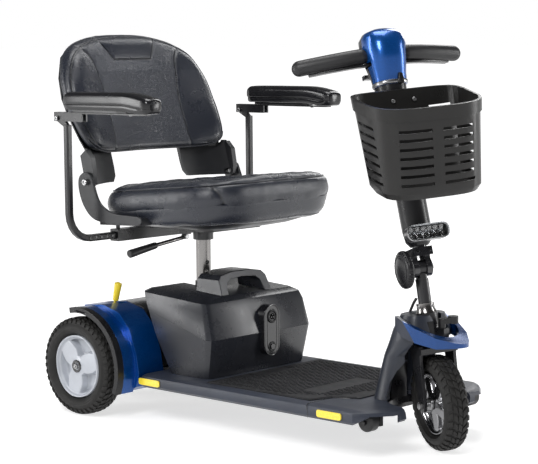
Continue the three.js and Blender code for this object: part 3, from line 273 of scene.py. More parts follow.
# ---------------------------------------------------------------- materials
class Look:
    """A node material that is built up in layers."""

    def __init__(self, name, colour, rough, metal=0.0, **sockets):
        self.mat = bpy.data.materials.new(name)
        self.mat.use_nodes = True
        self.tree = self.mat.node_tree
        self.bsdf = self.tree.nodes["Principled BSDF"]
        self.colour = colour
        self.rough = rough
        self.normal = None
        self.tint = None
        self.bsdf.inputs["Base Color"].default_value = (*colour, 1)
        self.bsdf.inputs["Roughness"].default_value = rough
        self.bsdf.inputs["Metallic"].default_value = metal
        for key, value in sockets.items():
            self.bsdf.inputs[key.replace("_", " ")].default_value = value
        self.coords = self.tree.nodes.new("ShaderNodeTexCoord").outputs["Object"]

    def node(self, kind, links=(), **values):
        made = self.tree.nodes.new(kind)
        for key, value in values.items():
            if hasattr(made, key):
                setattr(made, key, value)
            else:
                made.inputs[key].default_value = value
        for socket, source in links:
            self.tree.links.new(source, made.inputs[socket])
        return made

    def noise(self, scale, detail=3.0, roughness=0.55, stretch=None):
        coords = self.coords
        if stretch:
            coords = self.node("ShaderNodeMapping", [("Vector", coords)], Scale=stretch).outputs[0]
        return self.node(
            "ShaderNodeTexNoise", [("Vector", coords)], Scale=scale, Detail=detail, Roughness=roughness
        ).outputs["Fac"]

    def cells(self, scale, feature="F1"):
        return self.node(
            "ShaderNodeTexVoronoi", [("Vector", self.coords)], feature=feature, Scale=scale
        ).outputs["Distance"]

    def ramp(self, source, low, high, to_low=0.0, to_high=1.0):
        made = self.node("ShaderNodeMapRange", [("Value", source)])
        for key, value in zip(("From Min", "From Max", "To Min", "To Max"), (low, high, to_low, to_high)):
            made.inputs[key].default_value = value
        return made.outputs["Result"]

    def paint(self, factor, colour):
        """Mixes a colour over what is there, by a factor."""
        made = self.node("ShaderNodeMix", data_type="RGBA")
        self.tree.links.new(factor, made.inputs["Factor"])
        if self.tint:
            self.tree.links.new(self.tint, made.inputs[6])
        else:
            made.inputs[6].default_value = (*self.colour, 1)
        made.inputs[7].default_value = (*colour, 1)
        self.tint = made.outputs[2]
        self.tree.links.new(self.tint, self.bsdf.inputs["Base Color"])
        return self

    def mottle(self, scale, amount):
        """Uneven colour: darker and lighter patches."""
        fac = self.noise(scale, 5)
        self.paint(self.ramp(fac, 0.35, 0.7), tuple(c * (1 + amount) for c in self.colour))
        self.paint(self.ramp(fac, 0.55, 0.3, 0, 0.8), tuple(c * (1 - amount) for c in self.colour))
        return self

    def rub(self, scale, spread, stretch=None):
        """Uneven gloss, as handling leaves."""
        fac = self.noise(scale, 6, 0.65, stretch)
        out = self.ramp(fac, 0.3, 0.7, max(self.rough - spread, 0.02), min(self.rough + spread, 1))
        self.tree.links.new(out, self.bsdf.inputs["Roughness"])
        return self

    def bump(self, height, strength, depth):
        links = [("Height", height)] + ([("Normal", self.normal)] if self.normal else [])
        made = self.node("ShaderNodeBump", links, Strength=strength, Distance=depth * MM)
        self.normal = made.outputs["Normal"]
        self.tree.links.new(self.normal, self.bsdf.inputs["Normal"])
        return self

    def attribute(self, name):
        return self.node("ShaderNodeAttribute", attribute_name=name).outputs["Fac"]


def moulded(name, colour, rough, grain=1300, strength=0.25, **sockets):
    """A moulded plastic with a fine spark-eroded texture."""
    look = Look(name, colour, rough, **sockets)
    look.mottle(9, 0.14).rub(14, 0.07)
    look.bump(look.noise(grain, 2), strength, 0.25)
    return look.bump(look.noise(42, 2), 0.06, 0.6)


def painted_steel(name, colour, rough):
    look = Look(name, colour, rough, 0.0, Specular_IOR_Level=0.42, Coat_Weight=0.1, Coat_Roughness=0.18)
    look.mottle(16, 0.2).rub(30, 0.09)
    return look.bump(look.noise(520, 3), 0.16, 0.12)


def metallic_blue(name, deep):
    # deep scales the whole paint's colour; below 1 it is painted shade
    look = Look(name, (0.0, 0.062 * deep, 0.27 * deep), 0.27, 0.6, Coat_Weight=0.45, Coat_Roughness=0.03)
    look.mottle(5, 0.1)
    flakes = look.node("ShaderNodeTexVoronoi", [("Vector", look.coords)], Scale=1900.0)
    look.paint(look.ramp(flakes.outputs["Distance"], 0.24, 0.05, 0, 0.45), (0.0, 0.14 * deep, 0.52 * deep))
    look.rub(1500, 0.07)
    return look.bump(look.noise(160, 2), 0.02, 0.2)


def vinyl(name, colour, rough, grain, strength):
    """Embossed vinyl: leather cells with fine creases, with painted shade in the creases and in the seam
    grooves.
    """
    look = Look(name, colour, rough, Specular_IOR_Level=0.52, Sheen_Weight=0.05, Sheen_Roughness=0.45)
    look.mottle(7, 0.08).rub(11, 0.03)
    edge = look.cells(grain, "DISTANCE_TO_EDGE")
    # painted shade in the grain's creases: the cells' edges darkened to under half the colour
    look.paint(look.ramp(edge, 0.07, 0.0, 0, 0.55), tuple(c * 0.45 for c in colour))
    # painted shade: the seam grooves darkened to a sixth of the vinyl's colour by the seam mask
    look.paint(look.attribute("seam_shade"), tuple(c * 0.16 for c in colour))
    look.bump(look.ramp(edge, 0, 0.22), strength, 0.35)
    look.bump(look.noise(grain * 2.6, 3), strength * 0.5, 0.16)
    return look.bump(look.noise(26, 4), 0.1, 1.2)


def rubber(name, colour, rough, dust, shine):
    look = Look(name, colour, rough, Specular_IOR_Level=shine)
    look.mottle(22, 0.25).rub(40, 0.06)
    look.paint(look.ramp(look.noise(70, 5), 0.52, 0.75, 0, dust), tuple(c * 1.7 + 0.01 for c in colour))
    look.bump(look.noise(850, 3), 0.3, 0.25)
    return look.bump(look.cells(260), 0.12, 0.3)


def bright_metal(name, colour, rough, spread=0.06):
    look = Look(name, colour, rough, 1.0)
    look.mottle(18, 0.07).rub(60, spread, (1, 1, 0.12))
    return look.bump(look.noise(420, 3, stretch=(1, 1, 0.1)), 0.03, 0.06)


def reflector_with_painted_glow():
    # a faint painted glow: the reflector emits light, though it is no lamp
    look = Look("amber_reflector_painted_glow", (0.86, 0.7, 0.03), 0.16, Coat_Weight=1.0, Coat_Roughness=0.03,
                Emission_Color=(1, 0.82, 0.1, 1), Emission_Strength=0.12)
    look.paint(look.ramp(look.cells(430), 0.1, 0.6, 0, 0.65), (0.66, 0.46, 0.01))
    look.rub(60, 0.05)
    return look.bump(look.cells(430), 0.5, 0.8)


BLACK = (0.009, 0.009, 0.0102)
SLATE = (0.036, 0.041, 0.056)
LOOKS = {
    "satin_black": moulded("satin_black", BLACK, 0.27, Specular_IOR_Level=0.34),
    "slate": moulded("slate", SLATE, 0.4, 1100, 0.2, Specular_IOR_Level=0.26),
    "slate_deep": moulded("slate_deep", (0.021, 0.0245, 0.034), 0.34, 1100, 0.2, Specular_IOR_Level=0.34),
    "case_black": moulded("case_black", (0.0145, 0.0158, 0.0205), 0.29, 900, 0.2, Specular_IOR_Level=0.46),
    "shell_black": moulded("shell_black", (0.011, 0.0115, 0.0135), 0.38, 700, 0.4, Specular_IOR_Level=0.36),
    "basket": moulded("basket", (0.009, 0.0086, 0.0083), 0.33, 900, 0.35, Specular_IOR_Level=0.34),
    "gloss_black": moulded("gloss_black", (0.01, 0.01, 0.012), 0.16, 300, 0.04, Coat_Weight=0.7,
                           Coat_Roughness=0.05),
    "arm_skin": moulded("arm_skin", (0.008, 0.008, 0.0095), 0.22, 640, 0.1, Specular_IOR_Level=0.42),
    "grey_case": moulded("grey_case", (0.09, 0.09, 0.1), 0.5),
    "steel": painted_steel("steel", (0.009, 0.009, 0.0105), 0.32),
    "blue": metallic_blue("metallic_blue", 1),
    # painted shade: the fenders' metallic blue, darkened to 0.62 for the fin
    "fin_blue": metallic_blue("fin_blue", 0.62),
    "vinyl": vinyl("vinyl", (0.0135, 0.0158, 0.0235), 0.28, 480, 0.34),
    "vinyl_panel": vinyl("vinyl_panel", (0.0185, 0.0215, 0.031), 0.32, 270, 1.3),
    "mat": rubber("mat", (0.02, 0.02, 0.022), 0.7, 0.25, 0.2),
    "tyre": rubber("tyre", (0.0125, 0.012, 0.0115), 0.62, 0.3, 0.3),
    "grip": rubber("grip", (0.011, 0.011, 0.012), 0.46, 0.2, 0.4),
    "rim_grey": moulded("rim_grey", (0.4, 0.42, 0.46), 0.34, 500, 0.06, Coat_Weight=0.3,
                        Coat_Roughness=0.2),
    "rim_silver": bright_metal("rim_silver", (0.3, 0.3, 0.31), 0.22),
    "chrome": bright_metal("chrome", (0.22, 0.213, 0.208), 0.2),
    "zinc": bright_metal("zinc", (0.34, 0.34, 0.345), 0.3),
    "reflector": reflector_with_painted_glow(),
    "yellow": moulded("yellow", (0.8, 0.62, 0.03), 0.34, 900, 0.1, Coat_Weight=0.3, Coat_Roughness=0.1),
}


def clear_lens():
    look = Look("clear_lens", (0.96, 0.98, 1), 0.03, Transmission_Weight=1.0, IOR=1.46)
    look.rub(40, 0.02)
    look.bump(look.noise(60, 2), 0.03, 0.3)
    return look


LOOKS["lens"] = clear_lens()


def mat(key):
    return LOOKS[key].mat


# ---------------------------------------------------------------- carried CAD nodes
# look, edge rounding in millimetres (0 leaves the edges sharp): nodes
CARRIED = {
    ("steel", 0.8): "main_frame transaxle swivel_plate armrest_tube_right armrest_tube_left",
    ("slate", 5.0): "deck_panel",
    ("slate_deep", 1.2): "front_shroud",
    # the fin's blue is the fenders' paint, darkened as painted shade
    ("fin_blue", 2.0): "front_fin",
    ("satin_black", 1.2): "rear_body console",
    ("blue", 2.0): "fender_right fender_left",
    ("grip", 0): "tiller_cable",
    ("reflector", 0.5):
        "reflector_front_right reflector_front_left reflector_rear_right "
        "reflector_rear_left",
    ("satin_black", 1.6): "lock_lever",
    ("yellow", 0.8): "freewheel_lever",
    ("grip", 1.0): "anti_tip_wheel_right anti_tip_wheel_left anti_tip_roller_rear",
    ("case_black", 2.4): "battery_base battery_lid",
    ("case_black", 2.2): "battery_handle",
    ("grey_case", 1.0): "battery_cells",
    ("gloss_black", 1.2): "port_plate",
    ("gloss_black", 0.6): "breaker_button",
    ("shell_black", 1.2): "back_shell",
    ("steel", 0.6): "armrest_rail_right armrest_rail_left",
    ("steel", 1.0): "fork",
    ("chrome", 0.6): "steering_stem",
    ("zinc", 0.5): "front_axle",
    ("gloss_black", 1.0): "tiller_clamp",
    ("satin_black", 1.0): "tiller_cover throttle_lever speed_dial",
    ("blue", 1.2): "head_cover",
    ("zinc", 0.8): "key",
    ("satin_black", 0.8): "horn_button",
    ("zinc", 1.0): "headlight_housing",
    ("lens", 0.8): "headlight_lens",
    ("basket", 1.0): "basket",
}


def carry(name, look, rounding):
    """Smooth shading, welded corners and rounded edges on a CAD node."""
    obj = nodes[name]
    mesh = obj.data
    with bpy.context.temp_override(object=obj, active_object=obj, selected_objects=[obj]):
        bpy.ops.mesh.customdata_custom_splitnormals_clear()
    mesh.materials.clear()
    mesh.materials.append(mat(look))
    shade(obj, True)
    mesh.polygons.foreach_set("material_index", [0] * len(mesh.polygons))
    weld = obj.modifiers.new("weld", "WELD")
    weld.merge_threshold = 2e-5
    if rounding:
        bevelled(obj, rounding)


make_camera()
make_studio()
floor_look = Look("floor", (0.6, 0.6, 0.6), 0.9, Emission_Color=(1, 1, 1, 1), Emission_Strength=0.7,
                  Specular_IOR_Level=0.0)
floor_look.mottle(1.5, 0.01)
reach = floor_look.node("ShaderNodeVectorMath", [(0, floor_look.coords)])
reach.operation = "LENGTH"
# brighter with distance, so that the floor meets the white background with no line
glow = floor_look.ramp(reach.outputs["Value"], 1.2, 3.2, 0.66, 1.05)
floor_look.tree.links.new(glow, floor_look.bsdf.inputs["Emission Strength"])
WIDE = 250
corners = [(x * WIDE, y * WIDE, 0) for x, y in ((-1, -1), (1, -1), (1, 1), (-1, 1))]
floor = piece("floor", corners, [(0, 1, 2, 3)], floor_look.mat)
floor.location.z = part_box("front_tyre")[0].z
for (look, rounding), names in CARRIED.items():
    for node in names.split():
        carry(node, look, rounding)

# ---------------------------------------------------------------- places from the frame
REST = {name: Vector(j["pos_m"]) for name, j in joints.items() if "pos_m" in j}
ACROSS = Vector(joints["tiller_tilt"]["axis"])  # the steered parts' own sideways direction
UP_MAST = Vector(joints["throttle"]["axis"])
ALONG = UP_MAST.cross(ACROSS)
MAST_FORWARD = -16  # the mast's middle, from the tiller's pivot
REAR_AXLE_Y = REST["rear_wheel_spin_right"].y


def mast(x, y, z):
    """A point in the mast's own frame: millimetres across, back and up."""
    return REST["tiller_tilt"] + (ACROSS * x + ALONG * (y + MAST_FORWARD) + UP_MAST * z) * MM


def chassis(x, y, z):
    """A point given in millimetres from the rear axle's middle and the ground."""
    return Vector((x * MM, REAR_AXLE_Y + y * MM, z * MM))


def even_ring(half_x, half_y, power, count, rear_power=None):
    """A squared-off oval about the origin, evenly spaced."""
    a = np.linspace(0, 2 * math.pi, 6000, endpoint=False)
    c, s = np.cos(a), np.sin(a)
    power = np.where(s > 0, rear_power or power, power)
    p = np.column_stack([half_x * np.sign(c) * abs(c) ** (2 / power),
                         half_y * np.sign(s) * abs(s) ** (2 / power)])
    step = np.linalg.norm(np.roll(p, -1, 0) - p, axis=1)
    run = np.concatenate([[0], np.cumsum(step)])
    stops = np.linspace(0, run[-1], count, endpoint=False)
    p = np.vstack([p, p[:1]])
    return np.column_stack([np.interp(stops, run, p[:, k]) for k in (0, 1)])


def waves(points, scale, seed=0.0):
    """Smooth unevenness from -1 to 1 over an array of points."""
    x, y, z = (np.asarray(points, float) * scale).T
    return (np.sin(x * 1.7 + 1.3 * np.sin(y * 1.1 + seed) + seed)
            + np.sin(y * 2.1 + 1.7 * np.sin(z * 1.3 + seed * 2))
            + np.sin(z * 1.9 + 1.1 * np.sin(x * 0.9 - seed))) / 3


def distance_to(points, path):
    """Distance of 2-D points from a polyline."""
    best = np.full(len(points), FAR)
    for a, b in zip(path[:-1], path[1:]):
        d = b - a
        t = np.clip(((points - a) @ d) / max(d @ d, 1e-12), 0, 1)
        best = np.minimum(best, np.linalg.norm(points - (a + t[:, None] * d), axis=1))
    return best


def dense(points, gap):
    """The same line with extra points wherever two are further apart than gap."""
    out = [np.asarray(points[0], float)]
    for p in points[1:]:
        p = np.asarray(p, float)
        steps = max(1, int(math.ceil(np.linalg.norm(p - out[-1]) / gap)))
        start = out[-1]
        out += [start + (p - start) * (k + 1) / steps for k in range(steps)]
    return np.array(out)


VOXEL = 6
PRESSURE = 4
CLOTH_FRAMES = 20
NEIGHBOURS = 24


def swell(obj, most):
    """Cloth under pressure on a remeshed copy, its moves capped and passed on to the piece.

    The copy moves by over 20 mm on average and the caps are under 3 mm, so nearly every point
    moves by the cap. The crown, seams and folds come from the mesh, and not from this.
    """
    scene = bpy.context.scene
    copy = bpy.data.objects.new(f"{obj.name}_blown", obj.data.copy())
    scene.collection.objects.link(copy)
    bpy.context.view_layer.objects.active = copy
    remesh = copy.modifiers.new("voxels", "REMESH")
    remesh.mode = "VOXEL"
    remesh.voxel_size = VOXEL * MM
    bpy.ops.object.modifier_apply(modifier=remesh.name)
    before = np.array([v.co for v in copy.data.vertices])
    cloth = copy.modifiers.new("cloth", "CLOTH")
    settings = cloth.settings
    settings.use_pressure = True
    settings.uniform_pressure_force = PRESSURE
    settings.effector_weights.gravity = 0
    settings.quality = 4
    settings.mass = 0.3
    settings.tension_stiffness = settings.compression_stiffness = 18
    settings.bending_stiffness = 1.2
    cloth.collision_settings.use_collision = False
    cloth.collision_settings.use_self_collision = False
    cloth.point_cache.frame_start, cloth.point_cache.frame_end = 1, CLOTH_FRAMES
    for n in range(CLOTH_FRAMES):
        scene.frame_set(n + 1)
    blown = copy.evaluated_get(bpy.context.evaluated_depsgraph_get()).to_mesh()
    after = np.array([v.co for v in blown.vertices])
    move = after - before
    move -= move.mean(axis=0)
    size = np.maximum(np.linalg.norm(move, axis=1), 1e-9)
    move *= (np.minimum(size, most) / size)[:, None]
    mean, largest = (round(float(v) / MM, 2) for v in (size.mean(), size.max()))
    print("swell", obj.name, "mm", mean, largest)
    tree = KDTree(len(before))
    for i, at in enumerate(before):
        tree.insert(at, i)
    tree.balance()
    for v in obj.data.vertices:
        near = tree.find_n(v.co, NEIGHBOURS)
        weights = [1 / (d + 1e-4) for _, _, d in near]
        v.co += Vector(sum(move[i] * w for (_, i, _), w in zip(near, weights)) / sum(weights))
    obj.data.update()
    bpy.data.objects.remove(copy)
    scene.frame_set(1)


# ---------------------------------------------------------------- seat cushion
SEAT_TILT = 0.09
SEAT_MIDDLE_Y = -220
SEAT_BASE = 470  # height of the cushion's underside at its middle
SEAT_SQUARE, SEAT_SQUARE_REAR = 3.6, 7  # how squared-off its outline is in front and behind
SEAT_SWELL = 2.6
PAD_INSET = 2  # the cushion's widest outline stays this far inside its CAD solid


def seat_room():
    """The cushion's half width and half depth, and its middle from the rear axle, in millimetres."""
    lo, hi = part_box("seat_cushion")
    half_x = (hi.x - lo.x) / 2 / MM - PAD_INSET
    half_y = (hi.y - lo.y) / 2 / MM - PAD_INSET
    return half_x, half_y, ((lo.y + hi.y) / 2 - REAR_AXLE_Y) / MM


def seat_cushion():
    half_x, half_y, middle_y = seat_room()
    # inset from the widest outline, height over the underside
    side = smooth_curve([(200, 1), (120, 1), (50, 1), (26, 1), (14, 5), (5, 16), (0, 31), (1, 47),
                         (5, 58), (9, 64), (15, 69), (25, 74), (38, 76), (60, 74), (100, 67),
                         (150, 61), (215, 59)], 170)
    seam_row = int(np.argmin(np.linalg.norm(side - (9, 64), axis=1)))
    count = 360
    ring = even_ring(1, 1, SEAT_SQUARE, count, SEAT_SQUARE_REAR)
    rows = []
    for inset, z in side:
        x = ring[:, 0] * half_x * (1 - inset / half_x)
        y = ring[:, 1] * half_y * (1 - inset / half_x)
        rows.append(np.column_stack([x, y, np.full(count, z)]))
    rows = np.array(rows)
    run = np.concatenate([[0], np.cumsum(np.linalg.norm(np.diff(side, axis=0), axis=1))])
    from_seam = np.abs(run - run[seam_row])[:, None] + np.zeros(count)
    # panels meet at the two front corners too, on a line that leans
    points = rows.reshape(-1, 3)
    height = np.clip(points[:, 2] / 64, 0, 1)
    corner = np.full(len(points), FAR)
    for s in (-1, 1):
        seam_x = s * (half_x - 62 + 26 * height)
        gap = np.abs(points[:, 0] - seam_x) * 0.8
        corner = np.minimum(corner, np.where((points[:, 1] < 0) & (points[:, 2] < 65), gap, FAR))
    corner = corner.reshape(rows.shape[:2])
    below = (np.arange(len(side)) < seam_row)[:, None]
    on_side = (np.arange(len(side)) > 20)[:, None]
    corner = np.where(below & on_side, corner, FAR)
    near = np.minimum(from_seam, corner)
    groove = np.exp(-((near / 2.4) ** 2)) * 3.6 + np.exp(-((near / 9) ** 2)) * 1.8
    out = rows.copy()
    out[:, :, 2] = 0
    out /= np.maximum(np.linalg.norm(out, axis=2), 1)[:, :, None]
    on_top = (np.arange(len(side)) > seam_row)[:, None]
    folds = waves(points * (1, 1, 0.35), 0.045, 1.0).reshape(groove.shape)
    fine = waves(points, 0.12, 4.0).reshape(groove.shape)
    rows -= out * (groove * (1 - 0.4 * on_top))[:, :, None]
    rows[:, :, 2] -= groove * 0.6 * on_top
    rows += out * ((folds * 1.5 + fine * 0.35) * below * on_side)[:, :, None]
    dip = 1 - (rows[:, :, 0] / half_x) ** 2
    within = np.clip((0.86 - np.abs(rows[:, :, 1]) / half_y) * 6, 0, 1)
    rows[:, :, 2] += on_top * ((folds * 1.2 + fine * 0.5) - 9 * np.clip(dip, 0, 1) * within)
    rows[:, :, 1] += middle_y
    rows[:, :, 2] += SEAT_BASE - SEAT_TILT * (rows[:, :, 1] - SEAT_MIDDLE_Y)
    rows[:, :, 1] += REAR_AXLE_Y / MM
    obj = loft("seat_pad", rows * MM, mat("vinyl"))
    # painted shade along the seam grooves: a mask that darkens the vinyl there
    attribute(obj, "seam_shade", np.exp(-((near.ravel() / 1.5) ** 2)))
    swell(obj, SEAT_SWELL * MM)
    welt_at = rows[seam_row] * MM
    welt = tube("seat_welt", welt_at, 1.7 * MM, mat("vinyl"), 8, True)
    ride_all((obj, welt), "seat")
    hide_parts("seat_cushion")


def seat_skirt():
    """The cover's lower edge, drawn down and tucked under the pan."""
    half_x, half_y, middle_y = seat_room()
    section = [(5.5, 19), (6, 12), (8, 4), (10, -4), (14, -11), (21, -17), (31, -21), (44, -22.5),
               (50, -21.5), (50, -19.5), (40, -19.5), (26, -16), (17, -8), (12, 4), (10, 14)]
    section = smooth_curve(section, 44, closed=True)
    count = 300
    ring = even_ring(1, 1, SEAT_SQUARE, count, SEAT_SQUARE_REAR)
    sway = waves(np.column_stack([ring * 220, ring[:, :1] * 90]), 0.03, 5.0)
    rows = []
    for inset, z in section:
        pull = np.clip(-z / 20, 0, 1)
        x = ring[:, 0] * (half_x - inset - 1.2 * sway)
        y = ring[:, 1] * (half_y - inset - 1.2 * sway)
        drop = z + 2.2 * sway * pull
        # under the pan the seat's slope is less
        tilt = SEAT_TILT + (0.05 - SEAT_TILT) * pull
        height = SEAT_BASE + drop - tilt * (y + middle_y - SEAT_MIDDLE_Y)
        rows.append(np.column_stack([x, y + middle_y, height]))
    rows = np.array(rows)
    rows[:, :, 1] += REAR_AXLE_Y / MM
    faces = loop_faces(len(rows), count)
    obj = face_out(piece("seat_skirt", rows.reshape(-1, 3) * MM, faces, mat("vinyl")))
    low = rows[int(np.argmin(abs(section[:, 0] - 21) + (section[:, 1] > -14) * 99))]
    edge = tube("seat_skirt_welt", low * MM, 1.5 * MM, mat("vinyl"), 8, True)
    ride_all((obj, edge), "seat")


def plate_x(name, outline, x0, x1, material, rounding=1.8):
    """A flat plate across x, its outline in y and z."""
    rings = [[chassis(x, y, z) for y, z in outline] for x in (x0, x1)]
    obj = loft(name, rings, material)
    shade(obj, [len(q.vertices) == 4 for q in obj.data.polygons])
    return bevelled(obj, rounding, 3, 50)


def seat_shell():
    """The pan under the cushion, with a curved wing up each side to the hinge."""
    # half width, rear, front, height, squareness, slope
    levels = [(120, -60, -300, 435.3, 4, 0), (150, -52, -335, 440, 4, 0.02), (176, -44, -364, 448, 4, 0.03),
              (194, -38, -380, 459, 3.8, 0.06), (203, -33, -391, 469, 3.6, 0.09)]
    rings = []
    for half, rear, front, z, power, tilt in levels:
        ring = even_ring(half, (rear - front) / 2, power, 120)
        middle = (rear + front) / 2
        rings.append([chassis(x, y + middle, z - tilt * (y + middle - SEAT_MIDDLE_Y)) for x, y in ring])
    pan = loft("seat_pan", rings, mat("shell_black"))
    parts = [pan]
    lug = [(-196, 452), (-140, 450.5), (-86, 450), (-40, 459), (-10, 486), (5, 520), (6, 546), (-4, 559),
           (-18, 563), (-34, 558), (-44, 538), (-60, 502), (-84, 483), (-120, 473), (-196, 470)]
    lug = smooth_curve(lug, 120, closed=True)
    shelf = [(-196, 450), (-60, 445), (-60, 454.5), (-196, 467)]
    for s, name in ((-1, "right"), (1, "left")):
        parts.append(plate_x(f"seat_wing_{name}", lug, s * 238.2, s * 245.2, mat("shell_black")))
        parts.append(plate_x(f"seat_shelf_{name}", shelf, s * 150, s * 240, mat("shell_black"), 1.2))
        hinge = Vector((s * 0.226, *REST["back_fold"].yz))
        parts.append(stack(f"hinge_pin_{name}", hinge, (s, 0, 0), [(5.8, 0), (5.8, 24)], mat("zinc"), 24))
    ride_all(parts, "seat")
    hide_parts("seat_shell")


def seat_lever():
    inner, mid, outer = chassis(-58, -160, 410), chassis(-152, -153, 397), chassis(-232, -148, 383)
    path = [inner, inner.lerp(mid, 0.5), mid, mid.lerp(outer, 0.3)]
    rod = tube("seat_lever_rod", path, 4.6 * MM, mat("chrome"), 20)
    knuckle = stack("seat_lever_hub", chassis(-66, -168, 410), (0, 1, 0), [(5.7, 0), (5.7, 16)],
                    mat("zinc"), 24)
    along = (outer - mid).normalized()
    steps = [(5.4, 0), (7, 1), (7.8, 6), (8.2, 30), (9, 60), (9.4, 76), (9, 80), (7.6, 81.6)]
    grip = stack("seat_lever_grip", mid, along, steps, mat("grip"), 40)
    shade(grip, True)
    ride_all((rod, knuckle, grip), "seat_release")
    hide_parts("seat_lever")


# ---------------------------------------------------------------- back cushion
BACK_THICK = 44
BACK_SWELL = 2.2
BACK_OUTLINE = [(0, 602), (130, 602), (180, 607), (212, 619), (229, 645), (238, 690), (239, 728),
                (231, 777), (204, 827), (164, 854), (114, 869), (60, 877), (0, 878.5)]


def back_face(x, z):
    wrap = np.interp(z, (620, 720), (36, 20))
    return 32 + 0.42 * (z - 600) - wrap * (np.abs(x) / 239) ** 2.2


def back_cushion():
    right = BACK_OUTLINE + [(-x, z) for x, z in BACK_OUTLINE[-2:0:-1]]
    outline = smooth_curve(right, 420, closed=True)
    centre = np.array([0, 735.0])
    # inset from the outline, depth forward of the rear face, as a share of the thickness
    side = smooth_curve([(14, 0), (6, 0.03), (1, 0.13), (0, 0.32), (3, 0.55), (10, 0.76), (22, 0.9),
                         (40, 0.97), (70, 1.0), (110, 1.0), (160, 1.0), (228, 1.0)], 150)
    direction = outline - centre
    reach = np.linalg.norm(direction, axis=1)
    direction /= reach[:, None]
    share = side[:, 0] / 230
    flat = centre + direction[None] * (reach[None, :, None] * (1 - share)[:, None, None])
    x, z = flat[:, :, 0], flat[:, :, 1]
    depth = side[:, 1][:, None] * BACK_THICK + np.zeros_like(x)
    left = smooth_curve([(170, 858), (134, 815), (119, 720), (121, 640), (128, 596)], 40)
    seams = [left, left * (-1, 1), np.array([(-103, 885), (-60, 817), (60, 817), (103, 885)], float)]
    points = flat.reshape(-1, 2)
    near = np.min([distance_to(points, s) for s in seams], axis=0).reshape(x.shape)
    hem = np.abs(side[:, 0] - 5)[:, None] * 1.2 + np.where(z < 640, 0, FAR)
    front = (side[:, 1] > 0.5)[:, None]
    near = np.where(front, np.minimum(near, hem), FAR)
    boxing = np.abs(np.arange(len(side)) - int(np.argmin(abs(side[:, 1] - 0.8))))[:, None] * 1.7
    near = np.minimum(near, boxing + np.where(z > 612, 0, FAR))
    puff = 1 - np.exp(-((near / 26) ** 2))
    groove = 3.4 * np.exp(-((near / 2.2) ** 2)) + 1.2 * np.exp(-((near / 8) ** 2))
    wing = np.clip((np.abs(x) - 128) / 60, 0, 1) * np.clip((238 - np.abs(x)) / 40, 0, 1)
    soft = waves(np.column_stack([points, points[:, 0] * 0.4]), 0.028, 2.0).reshape(x.shape)
    depth = depth + front * (puff * 2.4 - groove - 2.2 + 5 * wing + soft * 0.9)
    dish = np.clip(1 - (np.abs(x) / 215) ** 2, 0, 1) * np.clip((790 - z) / 150, 0, 1)
    depth = depth * (1 - 0.58 * dish)
    y = back_face(x, z) - depth + REAR_AXLE_Y / MM - 0.3
    rows = np.stack([x, y, z], axis=2)
    obj = loft("back_pad", rows * MM, mat("vinyl"))
    obj.data.materials.append(mat("vinyl_panel"))
    # painted shade along the seam grooves: a mask that darkens the vinyl there
    attribute(obj, "seam_shade", np.exp(-((near.ravel() / 1.4) ** 2)))
    swell(obj, BACK_SWELL * MM)
    inner = (np.interp(z, left[::-1, 1], left[::-1, 0]) > np.abs(x)).ravel()
    above = ((z > 817) & (np.abs(x) < 60 + (z - 817) * 0.63)).ravel()
    panel = inner & ~above & (side[:, 1] > 0.9)[:, None].repeat(x.shape[1], 1).ravel()
    for p in obj.data.polygons:
        p.material_index = int(all(panel[v] for v in p.vertices))
    bottom = rows[int(np.argmin(abs(side[:, 0] - 3) + (side[:, 1] < 0.4) * 99))]
    edge = bottom[bottom[:, 2] < 640]
    edge = edge[np.argsort(edge[:, 0])]
    welt = tube("back_welt", edge * MM, 1.8 * MM, mat("vinyl"), 8)
    ride_all((obj, welt), "seat_back")
    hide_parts("back_cushion")


